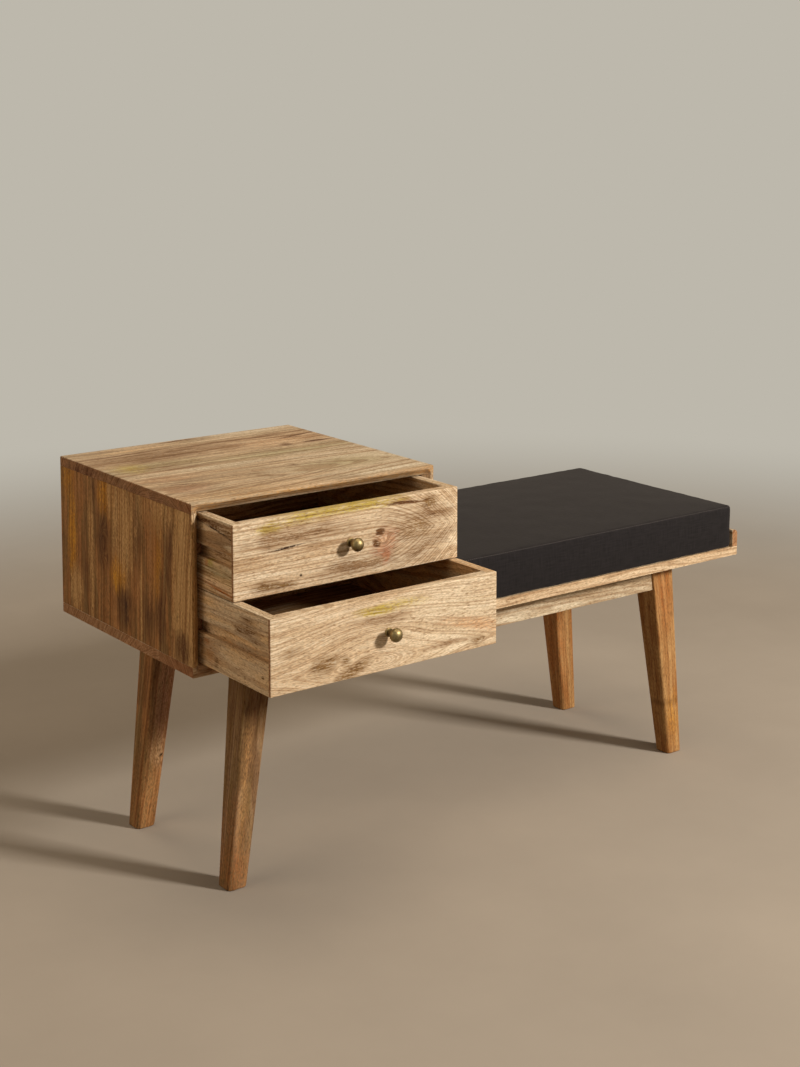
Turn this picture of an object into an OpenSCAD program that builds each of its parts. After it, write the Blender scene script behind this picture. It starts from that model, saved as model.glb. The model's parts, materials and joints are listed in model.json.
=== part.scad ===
// Telephone bench: a cabinet with two drawers and a cushioned seat, on one long board with splayed legs.
// Solid mango wood boards, glued, dowelled and screwed. Millimetres throughout.
// X runs along the bench, the front looks towards -Y, and Z = 0 is the floor.
// Both drawers stand pulled out, the lower one further, and slide along Y on side runners.

/* [Bench] */
// Length of the seat board, and of the whole bench
bench_w = 1100; // [1000:10:1300]
// Depth from the front edge to the back edge
bench_d = 400; // [380:5:440]
// Height of the cabinet top above the floor
bench_h = 600; // [570:5:660]
// Height of the legs, from the floor to the seat board
leg_h = 352; // [330:2:370]
// Thickness of the seat board
seat_t = 15; // [13:1:20]

/* [Cabinet] */
// Width of the cabinet
cabinet_w = 424; // [380:4:480]
// Thickness of the cabinet top
top_t = 15; // [13:1:20]
// Thickness of each cabinet side
side_t = 15; // [13:1:20]
// Depth of the 45 degree bevel routed round the cabinet mouth
mouth_bevel = 10.5; // [6:0.5:11]
// Eased top edge of the cabinet
top_ease = 1; // [0.5:0.25:2]
// Thickness of the back panel
back_t = 4; // [3:1:6]
// How far the back panel reaches into its rebates
back_rebate = 7; // [5:1:9]

/* [Drawers] */
// Thickness of a drawer front
face_t = 16; // [14:1:20]
// Thickness of a drawer side
wall_t = 15; // [14:1:18]
// Thickness of the front left over the end of each lapped side
lap_t = 4; // [3:0.5:6]
// Thickness of a drawer's rear board
rear_t = 12; // [10:1:15]
// How far the rear board stands in from the drawer's rear end
rear_in = 10; // [4:1:20]
// Thickness of a drawer's floor
floor_t = 4; // [3:0.5:6]
// Height of the floor's groove above the drawer's lower edge
floor_up = 9; // [7:1:14]
// Depth of the grooves that hold the floor and the rear board
dado_in = 5; // [4:0.5:6]
// Length of a drawer from its face to its rear end
drawer_d = 368; // [340:2:370]
// Gap above, between and below the drawers
gap_z = 1.5; // [1:0.25:3]
// Gap between a drawer and the cabinet side
gap_x = 2.5; // [1.5:0.25:4]
// How far the upper drawer is pulled out past the front plane
upper_open = 80.5; // [0:0.5:200]
// How far the lower drawer is pulled out past the front plane
lower_open = 171.5; // [0:0.5:200]

/* [Runners] */
// Height of a runner
runner_h = 17; // [14:0.5:20]
// Depth of the groove in a drawer side that takes the runner
groove_in = 8; // [6:0.5:9]

/* [Knobs] */
// Diameter of a knob's ball
ball_d = 20; // [16:1:26]
// Length of the ball along the knob's axis
ball_l = 15; // [12:0.5:20]
// How far a knob stands out of the drawer front
knob_l = 25; // [24:0.5:34]
// Diameter of a knob's foot
collar_d = 13; // [11:0.5:16]
// Diameter of a knob's neck
neck_d = 8; // [7:0.5:10]

/* [Legs] */
// Width of a leg where it meets the seat board
leg_top = 48; // [42:1:56]
// Width of a leg at the floor
leg_foot = 29; // [24:1:36]
// Centre of a leg's top, in from the end of the bench
leg_top_x = 140; // [120:2:170]
// Centre of a foot, in from the end of the bench
foot_x = 98.5; // [80:0.5:120]
// Centre of a leg's top, in from the front or back edge
leg_top_y = 68; // [60:1:80]
// Centre of a foot, in from the front or back edge
foot_y = 62.5; // [55:0.5:75]
// Corner radius of a leg at the top
leg_top_r = 2; // [1:0.5:5]
// Corner radius of a leg at the foot
leg_foot_r = 7; // [3:0.5:10]

/* [Underframe] */
// Height of the rails under the seat board
rail_h = 48; // [40:1:60]
// Thickness of the rails
rail_t = 20; // [16:1:22]
// How far a rail stands behind the outer face of the legs
rail_set = 4; // [2:1:6]
// Height of a corner block
block_h = 30; // [24:1:38]
// Length of a corner block along each rail
block_run = 60; // [50:2:70]

/* [End lip] */
// Height of the lip above the seat board
lip_h = 30; // [20:1:45]
// Thickness of the lip
lip_t = 12; // [11:0.5:18]
// Radius of the lip's top outer edge
lip_r = 8; // [4:0.5:9]

/* [Cushion] */
// Height of the cushion at its edge
cushion_h = 72; // [50:2:90]
// Extra height of the cushion in its middle
crown = 6; // [2:1:12]
// Radius of the cushion's corners seen from above
corner_r = 14; // [8:1:30]
// How far a long edge is drawn in between the corners
draw_in = 3; // [1:0.5:5]
// How far each side swells at half height
swell = 2.5; // [1:0.5:3]
// Setback of the cushion from the front edge of the seat board
cushion_front = 3; // [3:1:20]
// Setback of the cushion from the back edge of the seat board
cushion_back = 8; // [3:1:30]
// Thickness of the cover and wadding round the foam
wadding = 12; // [8:1:16]

/* [Hidden] */
$fn = 48;
// Fit of pieces that slide into or rest on each other
seat_gap = 0.3;
// Clearance of a panel, a dowel or a screw in its groove or hole
fit = 0.1;
// Overrun of every cut past the face that it opens
over = 1;
// Thickness of the thin plates that a leg is stretched between
sliver = 0.01;
// Play under a runner, inside the drawer's groove
groove_play = 1;
// Middle of the runner groove, as a share of the drawer's height
groove_mid_share = 0.515;
// Eased edges of the drawer fronts
face_ease = 0.8;
// Eased edge at the sole of each foot
sole_ease = 1.5;
// Eased ends and edges of the foam block
foam_ease = 6;
// Space at each side of the cushion
cushion_gap = 4.5;
// Eased edge between the cushion's faces
seam_r = 5;

// Dowels in the cabinet and at the rails' ends
dowel_d = 8;
dowel_l = 24;
dowel_in = 9;
rail_dowel_l = 30;
cabinet_dowel_shares = [0.16, 0.5, 0.84];
rail_dowel_shares = [0.25, 0.75];

// Countersunk wood screws: shank, head and length
screw_d = 4;
screw_head_d = 8;
screw_head_h = 2.4;
runner_screw_l = 20;
rail_screw_l = 40;
rail_screw_bite = 10;
lip_screw_l = 33;
back_screw_l = 14;
runner_screw_shares = [0.1, 0.5, 0.9];
rail_screw_shares = [0.2, 0.5, 0.8];
side_rail_screw_shares = [0.35, 0.65];
lip_screw_shares = [0.12, 0.5, 0.88];
back_screw_shares = [0.06, 0.5, 0.94];

// Hanger bolts that hold the legs to the corner blocks
bolt_d = 8;
bolt_bite = 22;
bolt_tail = 3;
nut_w = 15;
nut_t = 6.5;
washer_d = 20;
washer_t = 1.6;

// Knob screw
knob_screw_d = 4;
knob_screw_bite = 12;
pan_head_d = 8;
pan_head_h = 2.6;
collar_h = 2.5;

// Heights and widths that follow from the sizes above
seat_z = leg_h + seat_t;
mouth_z = bench_h - top_t;
mouth_h = mouth_z - seat_z;
mouth_x = side_t;
mouth_w = cabinet_w - 2 * side_t;
drawer_w = mouth_w - 2 * gap_x;
drawer_h = (mouth_h - 3 * gap_z) / 2;
lower_z = seat_z + gap_z;
upper_z = lower_z + drawer_h + gap_z;
drawer_x = mouth_x + gap_x;
// Closed drawers stand behind the front plane by the bevel
closed_in = mouth_bevel;
groove_h = runner_h + seat_gap + groove_play;
groove_z = drawer_h * groove_mid_share - groove_h / 2;
runner_w = gap_x + groove_in - seat_gap;
runner_y = closed_in + lap_t + seat_gap;
runner_l = drawer_d - lap_t - seat_gap;
floor_z = floor_up + floor_t + fit;
// Front plane of the bench, with the origin under the middle of the bench and its open drawers
front_y = (max(lower_open, upper_open) + knob_l - bench_d) / 2;
leg_out_x = leg_top_x - leg_top / 2;
leg_out_y = leg_top_y - leg_top / 2;
leg_in_x = leg_top_x + leg_top / 2;
leg_in_y = leg_top_y + leg_top / 2;
rail_in_x = leg_out_x + rail_set + rail_t;
rail_in_y = leg_out_y + rail_set + rail_t;
cushion_x = cabinet_w + cushion_gap;
cushion_w = bench_w - lip_t - cushion_gap - cushion_x;
cushion_d = bench_d - cushion_front - cushion_back;

// Places and mirrors
module place() translate([-bench_w / 2, front_y, 0]) children();
module flip_x() translate([bench_w, 0, 0]) mirror([1, 0, 0]) children();
module flip_y() translate([0, bench_d, 0]) mirror([0, 1, 0]) children();
module flip_cabinet() translate([cabinet_w, 0, 0]) mirror([1, 0, 0]) children();
module flip_drawer() translate([drawer_w, 0, 0]) mirror([1, 0, 0]) children();
module each_leg() {
    for (fx = [false, true], fy = [false, true])
        translate([fx ? bench_w : 0, fy ? bench_d : 0, 0])
            mirror([fx ? 1 : 0, 0, 0]) mirror([0, fy ? 1 : 0, 0]) children();
}
module at_lower() place() translate([drawer_x, -lower_open, lower_z]) children();
module at_upper() place() translate([drawer_x, -upper_open, upper_z]) children();

// Profiles: one in the plane seen from the front, one seen from the left
module along_y(length) translate([0, length, 0]) rotate([90, 0, 0]) linear_extrude(length) children();
module along_x(length) rotate([90, 0, 90]) linear_extrude(length) children();

// A round piece or hole along +X or +Y from a point
module rod_x(d, l) rotate([0, 90, 0]) cylinder(d = d, h = l);
module rod_y(d, l) rotate([-90, 0, 0]) cylinder(d = d, h = l);

// A countersunk screw that points up, with the top of its head at zero, and the same with a clearance
module screw(l, extra = 0) {
    cylinder(d = screw_d + extra, h = l + extra);
    cylinder(d1 = screw_head_d + extra, d2 = screw_d + extra, h = screw_head_h);
}
module screw_hole(l) {
    screw(l, 2 * fit);
    translate([0, 0, -over]) cylinder(d = screw_head_d + 2 * fit, h = over);
}

// The cabinet mouth: a bevel round the opening, with a cone in each corner
module mouth_cut() {
    r = mouth_bevel + over;
    for (z = [seat_z, mouth_z]) translate([mouth_x, 0, z]) along_x(mouth_w) bevel_profile(r);
    for (x = [mouth_x, mouth_x + mouth_w]) translate([x, 0, seat_z]) linear_extrude(mouth_h)
        bevel_profile_plan(r);
    for (x = [mouth_x, mouth_x + mouth_w], z = [seat_z, mouth_z])
        translate([x, -over, z]) rotate([-90, 0, 0]) cylinder(r1 = r, r2 = 0, h = r);
}
module bevel_profile(r) polygon([[-over, -r], [-over, r], [mouth_bevel, 0]]);
module bevel_profile_plan(r) polygon([[-r, -over], [r, -over], [0, mouth_bevel]]);

// The rebate that the back panel sits in
module back_recess(gap) {
    reach = back_rebate - gap;
    translate([mouth_x - reach, bench_d - back_t, seat_z - reach])
        cube([mouth_w + 2 * reach, back_t + (gap > 0 ? 0 : over), mouth_h + 2 * reach]);
}

// Dowels between the cabinet sides and the boards above and below them
module cabinet_dowel_set(extra) {
    for (x = [side_t / 2, cabinet_w - side_t / 2], s = cabinet_dowel_shares) {
        translate([x, s * bench_d, seat_z - dowel_in - extra])
            cylinder(d = dowel_d + 2 * extra, h = dowel_l + 2 * extra);
        translate([x, s * bench_d, mouth_z + dowel_in + extra]) mirror([0, 0, 1])
            cylinder(d = dowel_d + 2 * extra, h = dowel_l + 2 * extra);
    }
}

// Screws through the seat board into the end lip
module at_lip_screws() for (s = lip_screw_shares)
    translate([bench_w - lip_t / 2, s * bench_d, leg_h]) children();

// Screws up through the rails into the seat board, with their heads sunk in counterbores
module at_rail_screws() {
    z = seat_z - (seat_t - rail_screw_bite) - rail_screw_l;
    run_x = bench_w - 2 * leg_in_x;
    run_y = bench_d - 2 * leg_in_y;
    for (s = rail_screw_shares, y = [rail_in_y - rail_t / 2, bench_d - rail_in_y + rail_t / 2])
        translate([leg_in_x + s * run_x, y, z]) children();
    for (s = side_rail_screw_shares, x = [rail_in_x - rail_t / 2, bench_w - rail_in_x + rail_t / 2])
        translate([x, leg_in_y + s * run_y, z]) children();
}
module rail_screw_holes() at_rail_screws() {
    screw(rail_screw_l, 2 * fit);
    translate([0, 0, -rail_h]) cylinder(d = screw_head_d + 2 * fit, h = rail_h);
}

module seat_board() color("#d9bf93") place() difference() {
    translate([0, 0, leg_h]) cube([bench_w, bench_d, seat_t]);
    mouth_cut();
    back_recess(0);
    cabinet_dowel_set(fit);
    at_lip_screws() screw_hole(lip_screw_l);
    at_back_screws() screw_hole(back_screw_l);
    rail_screw_holes();
}

// The top lies over both sides, and its upper edges are eased
module cabinet_top() color("#b08f66") place() difference() {
    translate([0, 0, mouth_z]) intersection() {
        along_y(bench_d) eased_strip(cabinet_w, top_t, top_ease);
        along_x(cabinet_w) eased_strip(bench_d, top_t, top_ease);
    }
    mouth_cut();
    back_recess(0);
    cabinet_dowel_set(fit);
    at_back_screws() screw_hole(back_screw_l);
}
module eased_strip(w, t, e) polygon([[0, 0], [w, 0], [w, t - e], [w - e, t], [e, t], [0, t - e]]);

module cabinet_side() difference() {
    translate([0, 0, seat_z]) cube([side_t, bench_d, mouth_h]);
    mouth_cut();
    back_recess(0);
    cabinet_dowel_set(fit);
    at_back_screws() screw_hole(back_screw_l);
    at_runner_screws() rotate([0, -90, 0]) screw_hole(runner_screw_l);
}
module cabinet_side_left() color("#7a5632") place() cabinet_side();
module cabinet_side_right() color("#7a5632") place() flip_cabinet() cabinet_side();

module cabinet_back() color("#b89a70") place() difference() {
    back_recess(fit);
    at_back_screws() screw_hole(back_screw_l);
}
// Screws through the back panel into the rebates of the top, the sides and the seat board
module at_back_screws() {
    x = [mouth_x - back_rebate / 2, mouth_x + mouth_w + back_rebate / 2];
    z = [seat_z - back_rebate / 2, mouth_z + back_rebate / 2];
    for (s = back_screw_shares) {
        for (zi = z) translate([x[0] + s * (x[1] - x[0]), bench_d, zi]) rotate([90, 0, 0]) children();
        if (s == 0.5) for (xi = x)
            translate([xi, bench_d, z[0] + s * (z[1] - z[0])]) rotate([90, 0, 0]) children();
    }
}

// Runners: plain strips on the cabinet sides, in the grooves of the drawers
function runner_z(drawer_z) = drawer_z + groove_z + groove_h - seat_gap - runner_h;
module at_runner_screws(zs = [lower_z, upper_z]) for (z = zs, s = runner_screw_shares)
    translate([side_t + runner_w, runner_y + s * runner_l, runner_z(z) + runner_h / 2]) children();
module runner(drawer_z) difference() {
    translate([side_t, runner_y, runner_z(drawer_z)]) cube([runner_w, runner_l, runner_h]);
    at_runner_screws([drawer_z]) rotate([0, -90, 0]) screw_hole(runner_screw_l);
}
module runner_lower_left() color("#a9835a") place() runner(lower_z);
module runner_lower_right() color("#a9835a") place() flip_cabinet() runner(lower_z);
module runner_upper_left() color("#a9835a") place() runner(upper_z);
module runner_upper_right() color("#a9835a") place() flip_cabinet() runner(upper_z);

// The lip that keeps the cushion from sliding off the end
module end_lip() color("#d9bf93") place() difference() {
    translate([bench_w - lip_t, 0, seat_z]) along_y(bench_d) difference() {
        square([lip_t, lip_h]);
        translate([lip_t - lip_r, lip_h - lip_r]) difference() {
            square(lip_r + over);
            circle(lip_r);
        }
    }
    at_lip_screws() screw_hole(lip_screw_l);
}

// A leg is stretched from a square with small corners to a smaller one with rounder corners
module leg_plate(x, y, z, w, r) translate([x, y, z]) linear_extrude(sliver)
    offset(r = r, $fn = 24) square(w - 2 * r, center = true);
module leg() difference() {
    hull() {
        leg_plate(leg_top_x, leg_top_y, leg_h - sliver, leg_top, leg_top_r);
        leg_plate(foot_x, foot_y, sole_ease, leg_foot, leg_foot_r);
        leg_plate(foot_x, foot_y, 0, leg_foot - 2 * sole_ease, leg_foot_r - sole_ease);
    }
    rail_dowel_set(fit);
    along_bolt() translate([0, 0, -bolt_bite - fit]) cylinder(d = bolt_d + 2 * fit, h = bolt_path());
}
module leg_front_left() color("#8a6843") place() leg();
module leg_front_right() color("#a9733f") place() flip_x() leg();
module leg_back_left() color("#8a6843") place() flip_y() leg();
module leg_back_right() color("#a9733f") place() flip_x() flip_y() leg();

// Where the inner face of a leg stands at a height, in from the end and in from the front
function leg_face_x(z) = foot_x + leg_foot / 2 + (leg_in_x - foot_x - leg_foot / 2) * z / leg_h;
function leg_face_y(z) = foot_y + leg_foot / 2 + (leg_in_y - foot_y - leg_foot / 2) * z / leg_h;

// A rail's ends slope with the legs that they butt against
module rail_profile(length, face_low, face_high) polygon([
    [face_low, -rail_h], [length - face_low, -rail_h], [length - face_high, 0], [face_high, 0]
]);
module long_rail() difference() {
    translate([0, rail_in_y - rail_t, leg_h]) along_y(rail_t)
        rail_profile(bench_w, leg_face_x(leg_h - rail_h), leg_in_x);
    rail_dowel_set(fit);
    flip_x() rail_dowel_set(fit);
    rail_screw_holes();
}
module short_rail() difference() {
    translate([rail_in_x - rail_t, 0, leg_h]) along_x(rail_t)
        rail_profile(bench_d, leg_face_y(leg_h - rail_h), leg_in_y);
    rail_dowel_set(fit);
    flip_y() rail_dowel_set(fit);
    rail_screw_holes();
}
module front_rail() color("#cdb185") place() long_rail();
module back_rail() color("#cdb185") place() flip_y() long_rail();
module left_rail() color("#cdb185") place() short_rail();
module right_rail() color("#cdb185") place() flip_x() short_rail();

// Two dowels at each rail's end, half in the leg and half in the rail
module rail_dowel_set(extra) for (s = rail_dowel_shares) {
    z = leg_h - s * rail_h;
    l = rail_dowel_l + 2 * extra;
    d = dowel_d + 2 * extra;
    translate([leg_face_x(z) - l / 2, rail_in_y - rail_t / 2, z]) rod_x(d, l);
    translate([rail_in_x - rail_t / 2, leg_face_y(z) - l / 2, z]) rod_y(d, l);
}

// Corner blocks fill the corner behind each leg, and a bolt goes through them into the leg
module corner_block() difference() {
    x = leg_in_x + seat_gap;
    y = leg_in_y + seat_gap;
    translate([0, 0, leg_h - block_h]) linear_extrude(block_h) polygon([
        [x, rail_in_y], [x + block_run, rail_in_y], [rail_in_x, y + block_run], [rail_in_x, y], [x, y]
    ]);
    along_bolt() translate([0, 0, -bolt_d]) cylinder(d = bolt_d + 2 * fit, h = bolt_path());
}
module block_front_left() color("#b99463") place() corner_block();
module block_front_right() color("#b99463") place() flip_x() corner_block();
module block_back_left() color("#b99463") place() flip_y() corner_block();
module block_back_right() color("#b99463") place() flip_x() flip_y() corner_block();

// The bolt's axis starts at the block's notch and points to its slanted face
module along_bolt() translate([leg_in_x + seat_gap, leg_in_y + seat_gap, leg_h - block_h / 2])
    rotate([0, 0, 45]) rotate([0, 90, 0]) children();
function block_face() = (block_run - (leg_in_x + seat_gap - rail_in_x)) / sqrt(2);
function bolt_path() = bolt_bite + block_face() + washer_t + nut_t + bolt_tail;
module leg_bolts() color("silver") place() each_leg() along_bolt()
    translate([0, 0, -bolt_bite]) cylinder(d = bolt_d, h = bolt_path());
module leg_washers() color("silver") place() each_leg() along_bolt() translate([0, 0, block_face()])
    bored(washer_t) cylinder(d = washer_d, h = washer_t);
module leg_nuts() color("silver") place() each_leg() along_bolt()
    translate([0, 0, block_face() + washer_t]) bored(nut_t) cylinder(d = nut_w, h = nut_t, $fn = 6);
module bored(h) difference() {
    children();
    translate([0, 0, -over]) cylinder(d = bolt_d + 2 * fit, h = h + 2 * over);
}

module rail_dowels() color("#e0c79a") place() each_leg() rail_dowel_set(0);
module rail_screws() color("silver") place() at_rail_screws() screw(rail_screw_l);
module cabinet_dowels() color("#e0c79a") place() cabinet_dowel_set(0);
module lip_screws() color("silver") place() at_lip_screws() screw(lip_screw_l);
module back_screws() color("silver") place() at_back_screws() screw(back_screw_l);
module runner_screws() color("silver") place() {
    at_runner_screws() rotate([0, -90, 0]) screw(runner_screw_l);
    flip_cabinet() at_runner_screws() rotate([0, -90, 0]) screw(runner_screw_l);
}

// Drawer pieces, each drawn with the drawer's front lower left corner at zero
module drawer_front() difference() {
    intersection() {
        linear_extrude(drawer_h) polygon([
            [face_ease, 0], [drawer_w - face_ease, 0], [drawer_w, face_ease],
            [drawer_w, face_t], [0, face_t], [0, face_ease]
        ]);
        along_x(drawer_w) polygon([
            [face_ease, 0], [face_t, 0], [face_t, drawer_h],
            [face_ease, drawer_h], [0, drawer_h - face_ease], [0, face_ease]
        ]);
    }
    for (x = [-over, drawer_w - wall_t])
        translate([x, lap_t, -over]) cube([wall_t + over, face_t, drawer_h + 2 * over]);
    translate([wall_t - over, face_t - dado_in, floor_up - fit])
        cube([drawer_w - 2 * wall_t + 2 * over, dado_in + over, floor_t + 2 * fit]);
    translate([drawer_w / 2, -over, drawer_h / 2]) rod_y(knob_screw_d + 2 * fit, face_t + 2 * over);
}
module drawer_side() difference() {
    translate([0, lap_t, 0]) cube([wall_t, drawer_d - lap_t, drawer_h]);
    translate([-over, 0, groove_z]) cube([groove_in + over, drawer_d + over, groove_h]);
    translate([wall_t - dado_in, 0, floor_up - fit])
        cube([dado_in + over, drawer_d + over, floor_t + 2 * fit]);
    translate([wall_t - dado_in, drawer_d - rear_in - rear_t - fit, floor_z])
        cube([dado_in + over, rear_t + 2 * fit, drawer_h]);
}
module drawer_rear() translate([wall_t - dado_in + fit, drawer_d - rear_in - rear_t, floor_z])
    cube([drawer_w - 2 * (wall_t - dado_in + fit), rear_t, drawer_h - floor_z]);
module drawer_floor() translate([wall_t - dado_in + fit, face_t - dado_in + fit, floor_up])
    cube([drawer_w - 2 * (wall_t - dado_in + fit), drawer_d - face_t + dado_in - fit, floor_t]);

// A knob is turned in one piece: a foot, a hollowed neck and a slightly flattened ball
function ball_points() = [for (a = [-60:10:90]) [
    ball_d / 2 * cos(a), knob_l - ball_l / 2 + ball_l / 2 * sin(a)
]];
module drawer_knob() translate([drawer_w / 2, 0, drawer_h / 2]) rotate([90, 0, 0]) difference() {
    rotate_extrude() polygon(concat(
        [[0, 0], [collar_d / 2, 0], [collar_d / 2, collar_h / 2], [neck_d / 2 + collar_h / 2, collar_h]],
        [[neck_d / 2, 2 * collar_h], [neck_d / 2, knob_l - ball_l]],
        ball_points()
    ));
    translate([0, 0, -over]) cylinder(d = knob_screw_d + 2 * fit, h = knob_screw_bite + over + fit);
}
module drawer_knob_screw() translate([drawer_w / 2, 0, drawer_h / 2]) rotate([-90, 0, 0]) {
    translate([0, 0, -knob_screw_bite]) cylinder(d = knob_screw_d, h = knob_screw_bite + face_t);
    translate([0, 0, face_t]) cylinder(d = pan_head_d, h = pan_head_h);
}

module lower_front() color("#d8bd92") at_lower() drawer_front();
module lower_side_left() color("#c9a877") at_lower() drawer_side();
module lower_side_right() color("#c9a877") at_lower() flip_drawer() drawer_side();
module lower_rear() color("#c9a877") at_lower() drawer_rear();
module lower_floor() color("#8f6f4a") at_lower() drawer_floor();
module lower_knob() color("#6a5a38") at_lower() drawer_knob();
module lower_knob_screw() color("silver") at_lower() drawer_knob_screw();
module upper_front() color("#d8bd92") at_upper() drawer_front();
module upper_side_left() color("#c9a877") at_upper() drawer_side();
module upper_side_right() color("#c9a877") at_upper() flip_drawer() drawer_side();
module upper_rear() color("#c9a877") at_upper() drawer_rear();
module upper_floor() color("#8f6f4a") at_upper() drawer_floor();
module upper_knob() color("#6a5a38") at_upper() drawer_knob();
module upper_knob_screw() color("silver") at_upper() drawer_knob_screw();

// The cushion: rings of points, from the flat underside over the swelling sides to the crowned top.
// One ring walks round a rounded rectangle whose long edges are drawn in between the corners.
corner_steps = 6;
edge_steps = 8;
corner_signs = [[1, -1], [1, 1], [-1, 1], [-1, -1]];
function arc_point(i, a, out) = [
    corner_signs[i][0] * (cushion_w / 2 - corner_r) + (corner_r + out) * cos(a),
    corner_signs[i][1] * (cushion_d / 2 - corner_r) + (corner_r + out) * sin(a)
];
function edge_point(i, t, out) =
    let (p = arc_point(i, 90 * i, out), q = arc_point((i + 1) % 4, 90 * i, out))
    p + (q - p) * t - draw_in * pow(sin(180 * t), 2) * [cos(90 * i), sin(90 * i)];
function ring(out, s) = [for (i = [0:3]) each concat(
    [for (j = [0:corner_steps]) arc_point(i, 90 * (i - 1 + j / corner_steps), out)],
    [for (j = [1:edge_steps - 1]) edge_point(i, j / edge_steps, out)]
)] * s;
function lifted(points, z) = [for (p = points) [p[0], p[1], z]];
// Height of the crown at a share of the way out from the middle
function crown_z(s) = cushion_h + crown * (1 - pow(s, crown_power));
// Rings up the side: share of the swell, and share of the height
swell_shares = [[0.75, 0.28], [1, 0.5], [0.75, 0.72]];
// Rings over the top, as shares of the way out from the middle
crown_shares = [0.96, 0.88, 0.75, 0.58, 0.38, 0.18];
crown_power = 2.4;
// Where a round edge passes its middle, as a share of its radius
ease_share = 0.3;
side_rings = concat(
    [[-seam_r, 0], [-seam_r * ease_share, seam_r * ease_share], [0, seam_r]],
    [for (s = swell_shares) [swell * s[0], cushion_h * s[1]]],
    [[0, cushion_h - seam_r], [-seam_r * ease_share, cushion_h - seam_r * ease_share],
     [-seam_r, cushion_h]]
);
cushion_rings = concat(
    [for (r = side_rings) lifted(ring(r[0], 1), r[1])],
    [for (s = crown_shares) lifted(ring(-seam_r, s), crown_z(s))]
);
module cushion_body() {
    n = len(cushion_rings[0]);
    m = len(cushion_rings);
    points = concat([for (r = cushion_rings) each r], [[0, 0, 0], [0, 0, crown_z(0)]]);
    polyhedron(points, concat(
        [for (k = [0:m - 2], i = [0:n - 1]) [k * n + i, (k + 1) * n + i, (k + 1) * n + (i + 1) % n]],
        [for (k = [0:m - 2], i = [0:n - 1]) [k * n + i, (k + 1) * n + (i + 1) % n, k * n + (i + 1) % n]],
        [for (i = [0:n - 1]) [m * n, i, (i + 1) % n]],
        [for (i = [0:n - 1]) [m * n + 1, (m - 1) * n + (i + 1) % n, (m - 1) * n + i]]
    ));
}
module at_cushion() place()
    translate([cushion_x + cushion_w / 2, cushion_front + cushion_d / 2, seat_z + seat_gap]) children();

// The foam block inside the cover, with all its edges eased
module foam_block(gap) {
    w = cushion_w - 2 * (wadding + gap);
    d = cushion_d - 2 * (wadding + gap);
    h = cushion_h - wadding - 2 * gap;
    translate([-w / 2, -d / 2, wadding / 2 + gap]) intersection() {
        linear_extrude(h) eased_outline(w, d);
        along_y(d) eased_outline(w, h);
        along_x(w) eased_outline(d, h);
    }
}
module eased_outline(w, d) polygon([
    [foam_ease, 0], [w - foam_ease, 0], [w, foam_ease], [w, d - foam_ease],
    [w - foam_ease, d], [foam_ease, d], [0, d - foam_ease], [0, foam_ease]
]);
module cushion_cover() color("#38332f") at_cushion() difference() {
    cushion_body();
    foam_block(0);
}
module cushion_foam() color("#e6dfb8") at_cushion() foam_block(seat_gap);

seat_board();
cabinet_top();
cabinet_side_left();
cabinet_side_right();
cabinet_back();
runner_lower_left();
runner_lower_right();
runner_upper_left();
runner_upper_right();
end_lip();
leg_front_left();
leg_front_right();
leg_back_left();
leg_back_right();
front_rail();
back_rail();
left_rail();
right_rail();
block_front_left();
block_front_right();
block_back_left();
block_back_right();
leg_bolts();
leg_washers();
leg_nuts();
rail_dowels();
rail_screws();
cabinet_dowels();
runner_screws();
lip_screws();
back_screws();
lower_front();
lower_side_left();
lower_side_right();
lower_rear();
lower_floor();
lower_knob();
lower_knob_screw();
upper_front();
upper_side_left();
upper_side_right();
upper_rear();
upper_floor();
upper_knob();
upper_knob_screw();
cushion_cover();
cushion_foam();
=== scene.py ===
"""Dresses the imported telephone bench: mango woods, antique brass knobs, zinc fasteners and a
charcoal cushion, on a plain stage. Metres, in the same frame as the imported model."""

import json
from math import cos, hypot, pi, radians, sin
from typing import NamedTuple

import bmesh
import bpy
from mathutils import Matrix, Vector, noise


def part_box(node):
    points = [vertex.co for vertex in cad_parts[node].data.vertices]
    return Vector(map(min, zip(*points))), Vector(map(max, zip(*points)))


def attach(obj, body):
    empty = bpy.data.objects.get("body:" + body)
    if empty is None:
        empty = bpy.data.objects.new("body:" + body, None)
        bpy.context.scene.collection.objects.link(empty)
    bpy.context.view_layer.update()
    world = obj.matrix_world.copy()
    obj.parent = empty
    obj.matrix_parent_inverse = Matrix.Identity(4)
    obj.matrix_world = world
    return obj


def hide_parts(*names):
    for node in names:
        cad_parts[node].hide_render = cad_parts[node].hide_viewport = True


bl_info = {
    "name": "Telephone Bench Looks",
    "version": (1, 0, 0),
    "blender": (4, 5, 0),
    "location": "View3D > Sidebar > Bench",
    "description": "Woods, knobs, fasteners, cushion and stage of a telephone bench",
    "category": "Object",
}

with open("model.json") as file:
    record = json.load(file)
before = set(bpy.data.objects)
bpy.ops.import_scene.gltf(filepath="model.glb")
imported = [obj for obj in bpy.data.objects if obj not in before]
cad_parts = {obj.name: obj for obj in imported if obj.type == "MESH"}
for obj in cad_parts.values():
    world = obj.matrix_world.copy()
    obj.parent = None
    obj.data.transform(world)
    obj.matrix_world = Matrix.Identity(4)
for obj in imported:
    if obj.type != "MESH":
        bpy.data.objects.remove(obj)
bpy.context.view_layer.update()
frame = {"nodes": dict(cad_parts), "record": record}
NODES = frame["nodes"]
BODIES = {
    node: body for body, nodes in frame["record"]["behaviour"]["bodies"].items() for node in nodes
}
MM = 0.001
AXES = {"X": Vector((1, 0, 0)), "Y": Vector((0, 1, 0)), "Z": Vector((0, 0, 1))}


def linear(code):
    """The linear colour of an sRGB hex code."""
    parts = [int(code[i : i + 2], 16) / 255 for i in (1, 3, 5)]
    return [c / 12.92 if c <= 0.04045 else ((c + 0.055) / 1.055) ** 2.4 for c in parts]


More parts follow.
